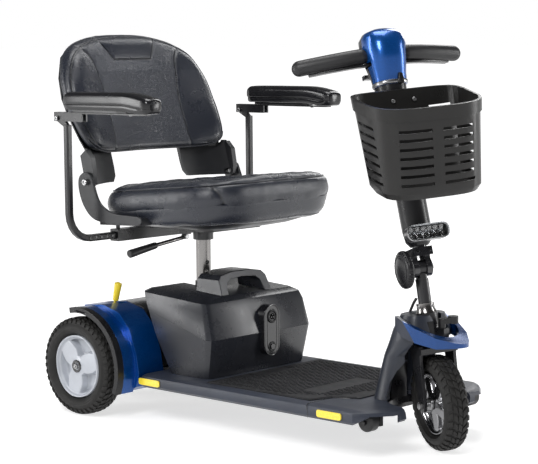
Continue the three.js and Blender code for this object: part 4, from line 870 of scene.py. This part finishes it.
# ---------------------------------------------------------------- armrest pads
def armrest_pad(name):
    lo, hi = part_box(f"armrest_pad_{name}")
    length = (hi.y - lo.y) / MM
    middle = (lo.x + hi.x) / 2 / MM
    low = lo.z / MM
    # share of the length from the rear, half width, underside, parting line, top
    stations = [(0, 15, 11, 19, 33), (0.003, 20, 9, 19, 37.5), (0.012, 24.6, 7, 18.5, 41.5),
                (0.035, 27.2, 5.6, 18.5, 44.4), (0.08, 28, 5.5, 18.5, 45.5), (0.4, 28, 5.5, 18.5, 46.2),
                (0.66, 28, 5.5, 18.5, 46), (0.74, 27.8, 4.5, 17.5, 45.2), (0.82, 27.4, 1.0, 14.5, 42.8),
                (0.88, 27, -0.5, 12.6, 39.8), (0.935, 26.2, -0.5, 12, 36.6), (0.965, 24.6, 0.2, 12, 34.4),
                (0.985, 21.4, 2, 12.6, 31.6), (0.996, 16.5, 5, 13.4, 28.4), (1.0, 10, 8, 14.5, 25)]
    rings = []
    for t, half, z0, line, z1 in smooth_curve(stations, 130):
        tall = (z1 - line) / 28
        step = 5 * np.clip((0.95 - t) / 0.08, 0.15, 1)
        # half of the section, from the underside's middle up over a step at the parting line
        section = [(0, z0), (half - 10, z0), (half - 6, z0 + 0.6), (half - 4, z0 + 2.6),
                   (half - 0.68 * step, line - 1.8), (half - 0.74 * step, line - 1.1),
                   (half - step, line - 0.6), (half - step, line + 0.1), (half - 0.28 * step, line + 0.4),
                   (half - 0.4, line + 1.6), (half, line + 5 * tall), (half, z1 - 13 * tall),
                   (half - 0.8, z1 - 8.5 * tall), (half - 3.2, z1 - 4.4 * tall),
                   (half - 7.2, z1 - 1.5 * tall), (half - 12.5, z1 - 0.2), (0, z1 + 0.6)]
        section = [(max(x, 0.5 * k / 16), z) for k, (x, z) in enumerate(section)]
        mirror = [(-x, z) for x, z in section[-2:0:-1]]
        y = hi.y / MM - 1 - t * (length - 2)
        rings.append([(middle + x, y, low + z) for x, z in section + mirror])
    obj = loft(f"armrest_skin_{name}", np.array(rings) * MM, mat("arm_skin"))
    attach(obj, f"armrest_{name}")
    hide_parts(f"armrest_pad_{name}")
    # the steel channel that the pad is screwed to
    start, end = hi.y - 0.02, lo.y + 0.3 * (hi.y - lo.y)
    half, top = 13 * MM, lo.z + 6.5 * MM
    section = [(-half, lo.z), (half, lo.z), (half, top), (-half, top)]
    stops = ((start, 1), (end + 0.03, 1), (end, 0.7))
    verts = [(middle * MM + x * k, y, z) for y, k in stops for x, z in section]
    channel = piece(f"armrest_channel_{name}", verts, ring_faces(3, 4), mat("steel"), False)
    bevelled(channel, 1.2, 2, 30)
    face_out(channel)
    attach(channel, f"armrest_{name}")


# ---------------------------------------------------------------- handlebar and head
BAR_HEIGHT = 460
BAR_SPAN = 179


def grips():
    """The foam-covered bar, thicker outside the head, with rounded ends."""
    steps = [math.sin(a) for a in np.linspace(-math.pi / 2, math.pi / 2, 15)]
    xs = np.concatenate([np.linspace(-BAR_SPAN, -50, 60), np.linspace(-46, 46, 12),
                         np.linspace(50, BAR_SPAN, 60)])
    t = np.clip((np.abs(xs) - 44) / (183 - 44), 0, 1.1)
    path = np.column_stack([xs, 41 * t ** 1.4, BAR_HEIGHT - 3.5 * t])
    slope = np.gradient(path, axis=0)
    slope /= np.linalg.norm(slope, axis=1)[:, None]
    radius = np.where(np.abs(xs) > 49, 17.0, 14.3)
    # the two round ends
    first = [(path[0] - slope[0] * 17 * -k, slope[0], 17 * math.sqrt(max(1 - k * k, 0.004)))
             for k in steps[:7]]
    last = [(path[-1] - slope[-1] * 17 * k, slope[-1], 17 * math.sqrt(max(1 - k * k, 0.004)))
            for k in steps[:7]][::-1]
    stations = first + list(zip(path, slope, radius)) + last
    angle = np.linspace(0, 2 * math.pi, 40, endpoint=False)
    rings = []
    for at, along, r in stations:
        flat = np.array([-along[1], along[0], 0])
        ring = at + r * (np.cos(angle)[:, None] * flat + np.sin(angle)[:, None] * np.array([0, 0, 1]))
        rings.append([mast(*q) for q in ring])
    obj = loft("handlebar_foam", rings, mat("grip"))
    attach(obj, "tiller")
    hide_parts("handlebar")


def head_trim():
    """A bright band round the foot of the head, and the latch that stands on it."""
    ring = even_ring(1, 1, 2.5, 96)
    rings = []
    for grow, z in ((0.2, 388.6), (1.4, 389.6), (1.6, 393), (1.4, 396.4), (0.2, 397.6)):
        rings.append([mast(x * (36.2 + grow), -5.2 + y * (31.6 + grow), z) for x, y in ring])
    band = loft("head_band", rings, mat("zinc"))
    rows = [(9, 3.5, 386), (10.5, 4.2, 388), (10.5, 4.6, 398), (8.5, 4.2, 406), (6.5, 3.2, 409)]
    rings = [[mast(12 + x * w / 2 * 1.2, -38.5 + y * d, z) for x, y in even_ring(1, 1, 4, 32)]
             for w, d, z in rows]
    latch = loft("head_latch", rings, mat("satin_black"))
    ride_all((band, latch), "tiller")


# ---------------------------------------------------------------- tyres
class Tyre:
    """A tyre's outer surface: a cross-section by its run from the middle, turned about the axle."""

    def __init__(self, centre, axis, radius, half, rim):
        self.centre = np.array(centre)
        self.axis, self.u, self.v = sideways(axis)
        side = [(radius, 0), (radius - 0.3, half * 0.3), (radius - 2, half - 9.5),
                (radius - 7, half - 3), (radius - 17, half), (radius - 28, half - 0.4), (rim + 7, half - 4)]
        side = smooth_curve(side, 60)
        self.section = np.vstack([side[::-1] * (1, -1), side[1:]])
        run = np.concatenate([[0], np.cumsum(np.linalg.norm(np.diff(self.section, axis=0), axis=1))])
        self.run = run - run[-1] / 2
        slope = np.gradient(self.section, self.run, axis=0)
        self.out = np.column_stack([slope[:, 1], -slope[:, 0]])
        self.rim, self.half = rim, half

    def at(self, s, phi, lift):
        s, phi, lift = np.broadcast_arrays(s, phi, lift)
        r, w, nr, nw = (np.interp(s, self.run, a) for a in (*self.section.T, *self.out.T))
        r, w = r + nr * lift, w + nw * lift
        return (self.centre + (np.cos(phi) * r)[..., None] * self.u * MM
                + (np.sin(phi) * r)[..., None] * self.v * MM + w[..., None] * self.axis * MM)

    def carcass(self, name, sunk, material):
        limit = np.interp(np.abs(self.run), (0, self.half + 6, self.half + 13), (sunk, sunk, 0))
        section = self.section - self.out * limit[:, None]
        ribs = [(self.run[-1] - 9, 0.9), (self.run[-1] - 13, 0.6), (self.run[-1] - 22, 0.5)]
        for at, tall in ribs:
            section += self.out * (tall * np.exp(-(((np.abs(self.run) - at) / 0.9) ** 2)))[:, None]
        bead = [(self.rim + 0.4, self.half - 13), (self.rim + 0.4, 0), (self.rim + 0.4, 13 - self.half)]
        closed = np.vstack([section, bead]) * MM
        return turned(name, closed, self.centre, self.axis, material, 144)

    def block(self, verts, faces, phi, width, s0, s1, skew, tall):
        """One lug: a raised patch with chamfered edges and walls down into the tyre."""
        across = np.array([0, 0.12, 0.5, 0.88, 1.0])
        base = len(verts)
        s = s0 + (s1 - s0) * across
        grid_s, grid_k = np.meshgrid(s, across, indexing="ij")
        lean = skew * (grid_s - (s0 + s1) / 2)
        phis = phi + width * (grid_k - 0.5) + lean
        border = np.zeros_like(grid_s, bool)
        border[0], border[-1], border[:, 0], border[:, -1] = True, True, True, True
        lift = np.where(border, tall - 0.7, tall) - 3.4
        top = self.at(grid_s, phis, lift).reshape(-1, 3)
        low = self.at(grid_s, phis, np.full_like(grid_s, -4.4)).reshape(-1, 3)
        n = len(across)
        verts += top.tolist() + low.tolist()
        for i in range(n - 1):
            for j in range(n - 1):
                q = [i * n + j, (i + 1) * n + j, (i + 1) * n + j + 1, i * n + j + 1]
                faces.append(tuple(base + k for k in q))
                faces.append(tuple(base + n * n + k for k in q[::-1]))
        loop = ([(i, 0) for i in range(n)] + [(n - 1, j) for j in range(1, n)]
                + [(i, n - 1) for i in range(n - 2, -1, -1)] + [(0, j) for j in range(n - 2, 0, -1)])
        ids = [base + i * n + j for i, j in loop]
        for a, b in zip(ids, ids[1:] + ids[:1]):
            faces.append((b, a, a + n * n, b + n * n))


def tyre(name, node, body, joint, rows, pitches):
    lo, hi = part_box(node)
    axis = Vector(joints[joint]["axis"])
    centre = REST[joint]
    radius, half, rim = TYRE_SIZES[node]
    if abs(centre.x) > 0.1:
        centre = Vector(((lo.x + hi.x) / 2, centre.y, centre.z))
    shape = Tyre(centre, axis, radius, half, rim)
    carcass = shape.carcass(f"{name}_carcass", 3.4, mat("tyre"))
    verts, faces = [], []
    step = 2 * math.pi / pitches
    for k in range(pitches):
        for offset, share, s0, s1, skew in rows:
            shape.block(verts, faces, (k + offset) * step, share * step, s0, s1, skew, 3.2)
    lugs = piece(f"{name}_lugs", verts, faces, mat("tyre"), False)
    face_out(lugs)
    ride_all((carcass, lugs), body)
    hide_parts(node)


TYRE_SIZES = {"tyre_right": (114, 29, 73), "tyre_left": (114, 29, 73), "front_tyre": (101.6, 26, 66)}
# offset and share of a pitch, run across the tread from one edge to the other, lean
REAR_LUGS = [(0.0, 0.62, 1.2, 11, 0.011), (0.5, 0.62, -11, -1.2, -0.011), (0.3, 0.6, 12.4, 21, 0.006),
             (0.8, 0.6, -21, -12.4, -0.006), (0.0, 0.55, 22, 34, 0.002), (0.5, 0.55, -34, -22, -0.002)]
FRONT_LUGS = [(0.0, 0.8, -4.2, 4.2, 0.008), (0.25, 0.7, 5.8, 15, -0.010), (0.75, 0.7, -15, -5.8, 0.010),
              (0.0, 0.62, 16.6, 31, 0.003), (0.5, 0.62, -31, -16.6, -0.003)]


# ---------------------------------------------------------------- rims
def rim_side(name, centre, axis, radius, level, spokes, phase, material, hub, depth, spread=0.3):
    """One side of a rim: a dished face with pockets between its spokes, out to the tyre."""
    axis, u, v = sideways(axis)
    radii = dense([(0.6,), (hub,), (radius - 9,), (radius - 0.5,)], 1.6)[:, 0]
    angle = np.linspace(0, 2 * math.pi, 240, endpoint=False)
    r, a = np.meshgrid(radii, angle, indexing="ij")
    step = 2 * math.pi / spokes
    off = np.abs((a - phase + step / 2) % step - step / 2)
    inner, outer = hub + 7, radius - 9
    t = np.clip((r - inner) / (outer - inner), 0, 1)
    wide = step * spread * (0.35 + 0.85 * t)
    arc = (wide - off) * r  # millimetres inside the pocket's side
    within = np.minimum(np.minimum(arc, r - inner), (outer - r) + 1.0)
    pocket = np.clip(within / 4.5, 0, 1)
    pocket = pocket * pocket * (3 - 2 * pocket)
    face = -3.5 - 3.5 * np.clip((r - hub) / (radius - hub), 0, 1) + 2.5 * np.exp(-((r / hub) ** 4))
    lip = 6.5 * np.clip((r - (radius - 6)) / 2.5, 0, 1)
    spoke_crown = 1.4 * np.cos(np.clip(off / step * 2 * math.pi, 0, math.pi)) * -1
    h = level + face + lip + spoke_crown * t - depth * pocket
    points = (np.array(centre) + (np.cos(a) * r * MM)[..., None] * u
              + (np.sin(a) * r * MM)[..., None] * v + (h * MM)[..., None] * axis)
    rings = points.reshape(len(radii), -1, 3)
    back = rings[[-1, 0]] - np.array([h[-1].max() - (level - depth - 8), h[0].max() - (level - depth - 8)])[
        :, None, None] * MM * axis
    return loft(name, np.concatenate([rings, back]), material)


def rear_rim(side, name):
    centre = REST[f"rear_wheel_spin_{name}"]
    lo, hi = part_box(f"tyre_{name}")
    middle = Vector(((lo.x + hi.x) / 2, centre.y, centre.z))
    body = f"rear_wheel_{name}"
    phase = math.radians(15 if side < 0 else 75)
    out = Vector((side, 0, 0))
    level = 23
    face = rim_side(f"rim_face_{name}", middle, out, 72.5, level, 3, phase, mat("rim_grey"), 17, 17)
    back = rim_side(f"rim_back_{name}", middle, -out, 72.5, level - 4, 3, -phase, mat("rim_grey"), 17, 8)
    ring = stack(f"hub_ring_{name}", middle + out * 18.5 * MM, out,
                 [(15, 0), (15, 4), (13.5, 5.2), (9, 5.2), (8.5, 3)], mat("gloss_black"), 48)
    nut = stack(f"hub_nut_{name}", middle + out * 20.5 * MM, out,
                [(7.2, 0), (7.2, 5), (6.2, 6), (3.6, 6)], mat("zinc"), 6)
    tip = stack(f"hub_tip_{name}", middle + out * 23 * MM, out,
                [(3.2, 0), (3.2, 6), (2.4, 7)], mat("zinc"), 20)
    inner = middle.x * side / MM - 17
    shaft = stack(f"half_shaft_{name}", Vector((side * 0.017, centre.y, centre.z)), out,
                  [(9.6, 0), (9.6, inner - 30), (12, inner - 28), (12, inner - 20)], mat("zinc"), 32)
    ride_all((face, back, ring, nut, tip, shaft), body)
    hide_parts(f"rim_{name}")


def front_rim():
    centre = REST["front_wheel_spin"]
    sides = (("right", -1), ("left", 1))
    faces = [rim_side(f"front_rim_{tag}", centre, ACROSS * s, 65.5, 19, 5, math.radians(20 * s),
                      mat("rim_silver"), 15, 11, 0.32) for tag, s in sides]
    hubs = [stack(f"front_hub_{tag}", centre + ACROSS * s * 18 * MM, ACROSS * s,
                  [(13, 0), (13, 5), (11, 7), (8, 7)], mat("zinc"), 40) for tag, s in sides]
    ride_all(faces + hubs, "front_wheel")
    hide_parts("front_rim")


def stack(name, at, axis, steps, material, sides=32):
    """Rings of (radius, height) in millimetres up an axis, closed at both ends."""
    axis, u, v = sideways(axis, (0.3, 0.5, 0.81))
    angle = np.linspace(0, 2 * math.pi, sides, endpoint=False)
    spin = np.cos(angle)[:, None] * u + np.sin(angle)[:, None] * v
    rings = [np.array(at) + (r * spin + h * axis) * MM for r, h in steps]
    obj = loft(name, rings, material)
    shade(obj, False)
    return bevelled(obj, 0.25, 1, 40) if sides > 12 else obj


# ---------------------------------------------------------------- fixings
def cap_screw(name, at, axis, radius, tall, body, material="zinc"):
    r = radius
    obj = stack(name, at, axis, [(r, -1.0), (r, tall - 0.3 * r * 0.6), (r * 0.82, tall), (r * 0.5, tall),
                                 (r * 0.5, tall * 0.45)], mat(material), 24)
    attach(obj, body)


def fixings():
    for s, name in ((-1, "right"), (1, "left")):
        side = Vector((s, 0, 0))
        cap_screw(f"hinge_bolt_{name}", Vector((s * 0.2502, *REST["back_fold"].yz)), side, 7.5, 4.2, "seat")
        pivot = REST[f"armrest_flip_{name}"]
        for t in (-1, 1):
            tag = "in" if t < 0 else "out"
            cap_screw(f"arm_bolt_{name}_{tag}", pivot + side * t * 0.0122, side * t, 5.2, 3, f"arm_{name}")
        for k, y in enumerate((-0.06, -0.235)):
            at = pivot + Vector((0, y, 0.0108))
            cap_screw(f"pad_screw_{name}_{k}", at, (0, 0, -1), 4, 2.2, f"armrest_{name}")
        at = Vector((s * 0.150, REAR_AXLE_Y - 0.022, 0.438))
        cap_screw(f"arm_knob_{name}", at, (0, 0, 1), 9, 6, "seat", "satin_black")
        cap_screw(f"basket_screw_{name}", mast(s * 24, -59.6, 345), -ALONG, 4.4, 2, "tiller")
        at = mast(s * 14, -33 + 16, 31)
        cap_screw(f"clamp_bolt_{name}", at, -ALONG, 3.4, 2.2, "tiller", "satin_black")
    for s, name in ((-1, "right"), (1, "left")):
        for k in range(5):
            at = Vector((s * (0.174 + 0.017 * k), REAR_AXLE_Y - 0.0302, 0.412))
            hole = stack(f"arm_hole_{name}_{k}", at, (0, -1, 0),
                         [(3.2, 0), (3.2, 0.35), (2.4, 0.4), (2.4, 0.1)], mat("gloss_black"), 20)
            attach(hole, f"arm_{name}")
    steer = REST["steering"]
    up = Vector(joints["steering"]["axis"])
    for k, angle in enumerate((20, 110, 200, 290)):
        a = math.radians(angle)
        out = ACROSS * math.cos(a) + up.cross(ACROSS) * math.sin(a)
        cap_screw(f"collar_screw_{k}", steer + up * 0.0065 + out * 0.0186, out, 3.4, 2.6, "steering")


# ---------------------------------------------------------------- knob, post, lever, seams
def knob():
    """A domed knob with a knurled edge, on its boss, with the bolt's head on the far side."""
    at = REST["tiller_tilt"]
    axis = -np.array(ACROSS)
    u, v = np.array(UP_MAST), np.array(ALONG)
    # radius, distance from the pivot, depth of the knurl
    profile = [(12, 27, 0), (30, 27.5, 0), (37, 29, 0.6), (39.6, 32, 1), (40.4, 37, 1), (39.2, 41, 1),
               (36, 43.5, 0.5), (31, 45, 0), (28, 44.6, 0), (24, 46, 0), (16, 47.4, 0), (8, 48.2, 0),
               (2, 48.4, 0)]
    profile = smooth_curve(profile, 60)
    angle = np.linspace(0, 2 * math.pi, 432, endpoint=False)
    rings = []
    for r, x, bite in profile:
        gaps = np.clip(np.abs(np.sin(angle * 2)) * 3 - 0.8, 0, 1)  # plain flats between the knurled runs
        radius = r - bite * gaps * 1.6 * (0.5 + 0.5 * np.cos(angle * 36))
        spin = np.cos(angle)[:, None] * u + np.sin(angle)[:, None] * v
        rings.append(np.array(at) + (radius[:, None] * spin + x * axis) * MM)
    disc = loft("knob_disc", rings, mat("satin_black"))
    boss = stack("knob_boss", at, axis, [(11, 21.5), (11, 26), (13, 28)], mat("satin_black"), 32)
    head = stack("knob_bolt", at, -axis, [(8.4, 21.4), (8.4, 27), (7.4, 28)], mat("zinc"), 6)
    ride_all((disc, boss, head), "tiller_knob")
    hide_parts("tiller_knob")


def post():
    lo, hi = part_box("seat_post")
    at = (lo + hi) / 2
    base = Vector((at.x, at.y, 0))
    tube_steps = [(17, lo.z / MM), (17.6, lo.z / MM + 0.6), (17.6, 404), (15, 404.5), (15, hi.z / MM)]
    outer = stack("seat_post_tube", base, (0, 0, 1), tube_steps, mat("chrome"), 72)
    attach(outer, "seat_column")
    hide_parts("seat_post")
    pin = Vector((at.x - 0.0045, at.y - 0.0168, 0.345))
    cap_screw("post_pin", pin, (-0.25, -1, 0), 4.6, 3, "seat_column", "gloss_black")


def lever_grip():
    """The soft yellow sleeve on the freewheel lever."""
    low, top = np.array([-150, -9, 256.0]), np.array([-150, -20, 297.0])
    along = (top - low) / np.linalg.norm(top - low)
    at = chassis(*(low + along * 12))
    stalk = stack("freewheel_stalk", chassis(*low), along, [(4.6, 0), (4.6, 13)], mat("zinc"), 24)
    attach(stalk, "freewheel")
    steps = [(4.4, 0), (5.6, 0.8), (6.1, 6), (6.6, 18), (6.9, 27), (6.2, 31), (4.2, 32.6)]
    sleeve = stack("freewheel_grip", at, along, steps, mat("yellow"), 32)
    shade(sleeve, True)
    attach(sleeve, "freewheel")


def deck_seams():
    """The joint between the deck's middle and its front apron."""
    for s, name in ((-1, "right"), (1, "left")):
        path = [(s * 112, -700, 107.1), (s * 128, -676, 107.1), (s * 146, -664, 107.1),
                (s * 204, -664, 107.1), (s * 211, -665, 106), (s * 214.8, -666, 101),
                (s * 215.1, -668, 90), (s * 215.1, -669, 79)]
        points = smooth_curve(path, 40)
        line = tube(f"deck_seam_{name}", [chassis(*q) for q in points], 0.75 * MM, mat("gloss_black"), 8)
        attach(line, "chassis")


# ---------------------------------------------------------------- port plate
PORT_Z, BREAKER_Z = 0.232, 0.162


def port_details():
    lo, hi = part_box("port_plate")
    front = Vector((0, -1, 0))
    x = (lo.x + hi.x) / 2
    face = lo.y
    parts = [
        stack("port_rim", Vector((x, face + 0.0012, PORT_Z)), front,
              [(15.5, 0), (15.5, 3), (14, 4), (12, 4), (11, 1.2)], mat("satin_black"), 48),
        stack("port_ring", Vector((x, face + 0.003, PORT_Z)), front,
              [(10.6, 0), (10.6, 3.6), (9.4, 4.4), (8.2, 4.4), (7.8, 1)], mat("gloss_black"), 40),
        stack("port_core", Vector((x, face + 0.003, PORT_Z)), front,
              [(7.4, 0), (7.4, 2.4), (6.6, 3)], mat("gloss_black"), 32),
    ]
    for k in range(3):
        a = math.radians(90 + 120 * k)
        at = Vector((x + 0.0034 * math.cos(a), face - 0.0002, PORT_Z + 0.0034 * math.sin(a)))
        parts.append(stack(f"port_pin_{k}", at, front, [(1.1, 0), (1.1, 2.2), (0.7, 2.6)], mat("zinc"), 14))
    parts.append(stack("breaker_ring", Vector((x, face + 0.0012, BREAKER_Z)), front,
                       [(12, 0), (12, 2), (11, 2.8), (8.6, 2.8), (8.2, 1)], mat("satin_black"), 40))
    half, low, high = 0.0235, 0.1655, 0.2345
    turn = np.linspace(0, math.pi, 25)
    border = [Vector((x + half * math.cos(t), face + 0.0006, high + half * math.sin(t))) for t in turn]
    border += [Vector((x - half * math.cos(t), face + 0.0006, low - half * math.sin(t))) for t in turn]
    parts.append(tube("port_border", border, 1.7 * MM, mat("gloss_black"), 10, True))
    inner = [Vector((x + (q.x - x) * 0.66, face + 0.0002, 0.2 + (q.z - 0.2) * 0.84)) for q in border]
    parts.append(tube("port_groove", inner, 0.8 * MM, mat("satin_black"), 8, True))
    ride_all(parts, "battery_pack")


# ---------------------------------------------------------------- lamp
def lamp_insert():
    """The ribbed bright plate behind the lens, with its lamps."""
    half_x, low, high = 41.5, 53, 77
    xs = np.linspace(-half_x, half_x, 200)
    zs = np.linspace(low, high, 40)
    x, z = np.meshgrid(xs, zs, indexing="ij")
    rib = np.abs(np.sin(x / 83 * math.pi * 6))
    rise = ((z - (low + high) / 2) / 12) ** 2
    y = -46 - 5.5 * rib ** 0.7 - 4 * rise
    front = np.stack([x, y, z], axis=2)
    ring = [mast(*p) for p in front.reshape(-1, 3)]
    rows, cols = x.shape
    faces = [(i * cols + j, (i + 1) * cols + j, (i + 1) * cols + j + 1, i * cols + j + 1)
             for i in range(rows - 1) for j in range(cols - 1)]
    plate = piece("lamp_reflector", ring, faces, mat("chrome"))
    solid = plate.modifiers.new("thick", "SOLIDIFY")
    solid.thickness = 0.8 * MM
    solid.offset = 0
    parts = [plate]
    for k in range(5):
        at = mast(-83 / 3 + 83 / 6 * k, -50, 65)
        steps = [(4, 0), (4, 2), (3, 4), (1.2, 5)]
        parts.append(stack(f"lamp_led_{k}", at, -ALONG, steps, mat("lens"), 20))
    ride_all(parts, "tiller")


# ---------------------------------------------------------------- mat and deck
MAT_OUTLINE = [(186, -346), (186, -648), (132, -664), (104, -716)]


def inside(x, y, outline, margin):
    """Whether a point is inside a convex outline by more than a margin."""
    for (ax, ay), (bx, by) in zip(outline, outline[1:] + outline[:1]):
        dx, dy = bx - ax, by - ay
        if (dx * (y - ay) - dy * (x - ax)) / math.hypot(dx, dy) < margin:
            return False
    return True


def mat_nubs():
    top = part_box("foot_mat")[1].z / MM
    outline = MAT_OUTLINE + [(-x, y) for x, y in MAT_OUTLINE[::-1]]
    area = sum(a[0] * b[1] - b[0] * a[1] for a, b in zip(outline, outline[1:] + outline[:1]))
    if area < 0:
        outline = outline[::-1]
    verts, faces = [], []
    lower = [(-4.8, -1.8), (-3.4, -2.8), (3.4, -2.8), (4.8, -1.8),
             (4.8, 1.8), (3.4, 2.8), (-3.4, 2.8), (-4.8, 1.8)]
    for row in range(33):
        for col in range(-14, 15):
            x = col * 13.5 + (6.75 if row % 2 else 0)
            y = -356 - row * 10.8
            plaque = abs(x) < 64 and -394 < y
            plain = -120 < x < 70 and -624 < y < -566
            shroud = abs(x) < 92 and y < -700
            if plaque or plain or shroud or not inside(x, y, outline, 11):
                continue
            turn = 1 if (row + col) % 2 else -1
            base = len(verts)
            for scale, z in ((1.0, -0.3), (0.93, 1.1), (0.7, 1.7)):
                for px, py in lower:
                    verts.append(chassis(x + px * scale, y + (py + px * 0.35 * turn) * scale, top + z))
            for r in range(2):
                for i in range(8):
                    j = (i + 1) % 8
                    a, b = base + r * 8, base + r * 8 + 8
                    faces.append((a + i, a + j, b + j, b + i))
            faces.append(tuple(base + 16 + i for i in range(8)))
            faces.append(tuple(base + i for i in range(8))[::-1])
    nubs = piece("mat_nubs", [tuple(v) for v in verts], faces, mat("mat"))
    frame_line = [(-60, -356), (60, -356), (60, -390), (-60, -390)]
    path = [chassis(x, y, top + 0.2) for x, y in dense(frame_line + frame_line[:1], 6)[:-1]]
    border = tube("mat_border", path, 1.0 * MM, mat("mat"), 8, True)
    patch = dense([(-122, -562), (72, -562), (72, -628), (-122, -628), (-122, -562)], 8)[:-1]
    ridge = tube("mat_patch_edge", [chassis(x, y, top) for x, y in patch], 0.9 * MM, mat("mat"), 8, True)
    rim = dense([(182, -352), (182, -645), (129, -660), (103, -708)], 8)
    rims = [tube(f"mat_edge_{tag}", [chassis(x * k, y, top) for x, y in rim], 1.3 * MM, mat("mat"), 8)
            for k, tag in ((-1, "right"), (1, "left"))]
    ride_all((nubs, border, ridge, *rims), "chassis")


seat_cushion()
seat_skirt()
seat_shell()
seat_lever()
back_cushion()
grips()
head_trim()
knob()
post()
lever_grip()
deck_seams()
for side, name in ((-1, "right"), (1, "left")):
    armrest_pad(name)
    tyre(f"wheel_{name}", f"tyre_{name}", f"rear_wheel_{name}", f"rear_wheel_spin_{name}", REAR_LUGS, 42)
    rear_rim(side, name)
tyre("wheel_front", "front_tyre", "front_wheel", "front_wheel_spin", FRONT_LUGS, 34)
front_rim()
fixings()
port_details()
lamp_insert()
mat_nubs()
nodes["foot_mat"].data.materials.clear()
carry("foot_mat", "mat", 0.6)


def second_finish(node, look, wanted):
    """Gives part of a CAD node another finish, by where each face lies."""
    mesh = nodes[node].data
    mesh.materials.append(mat(look))
    for p in mesh.polygons:
        if wanted(p.center):
            p.material_index = 1


steer_up = Vector(joints["steering"]["axis"])
second_finish("steering_stem", "steel", lambda c: (c - REST["steering"]).dot(steer_up) > 0.014)
fin_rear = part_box("front_fin")[1].y
second_finish("front_fin", "slate", lambda c: c.y > fin_rear - 0.042)
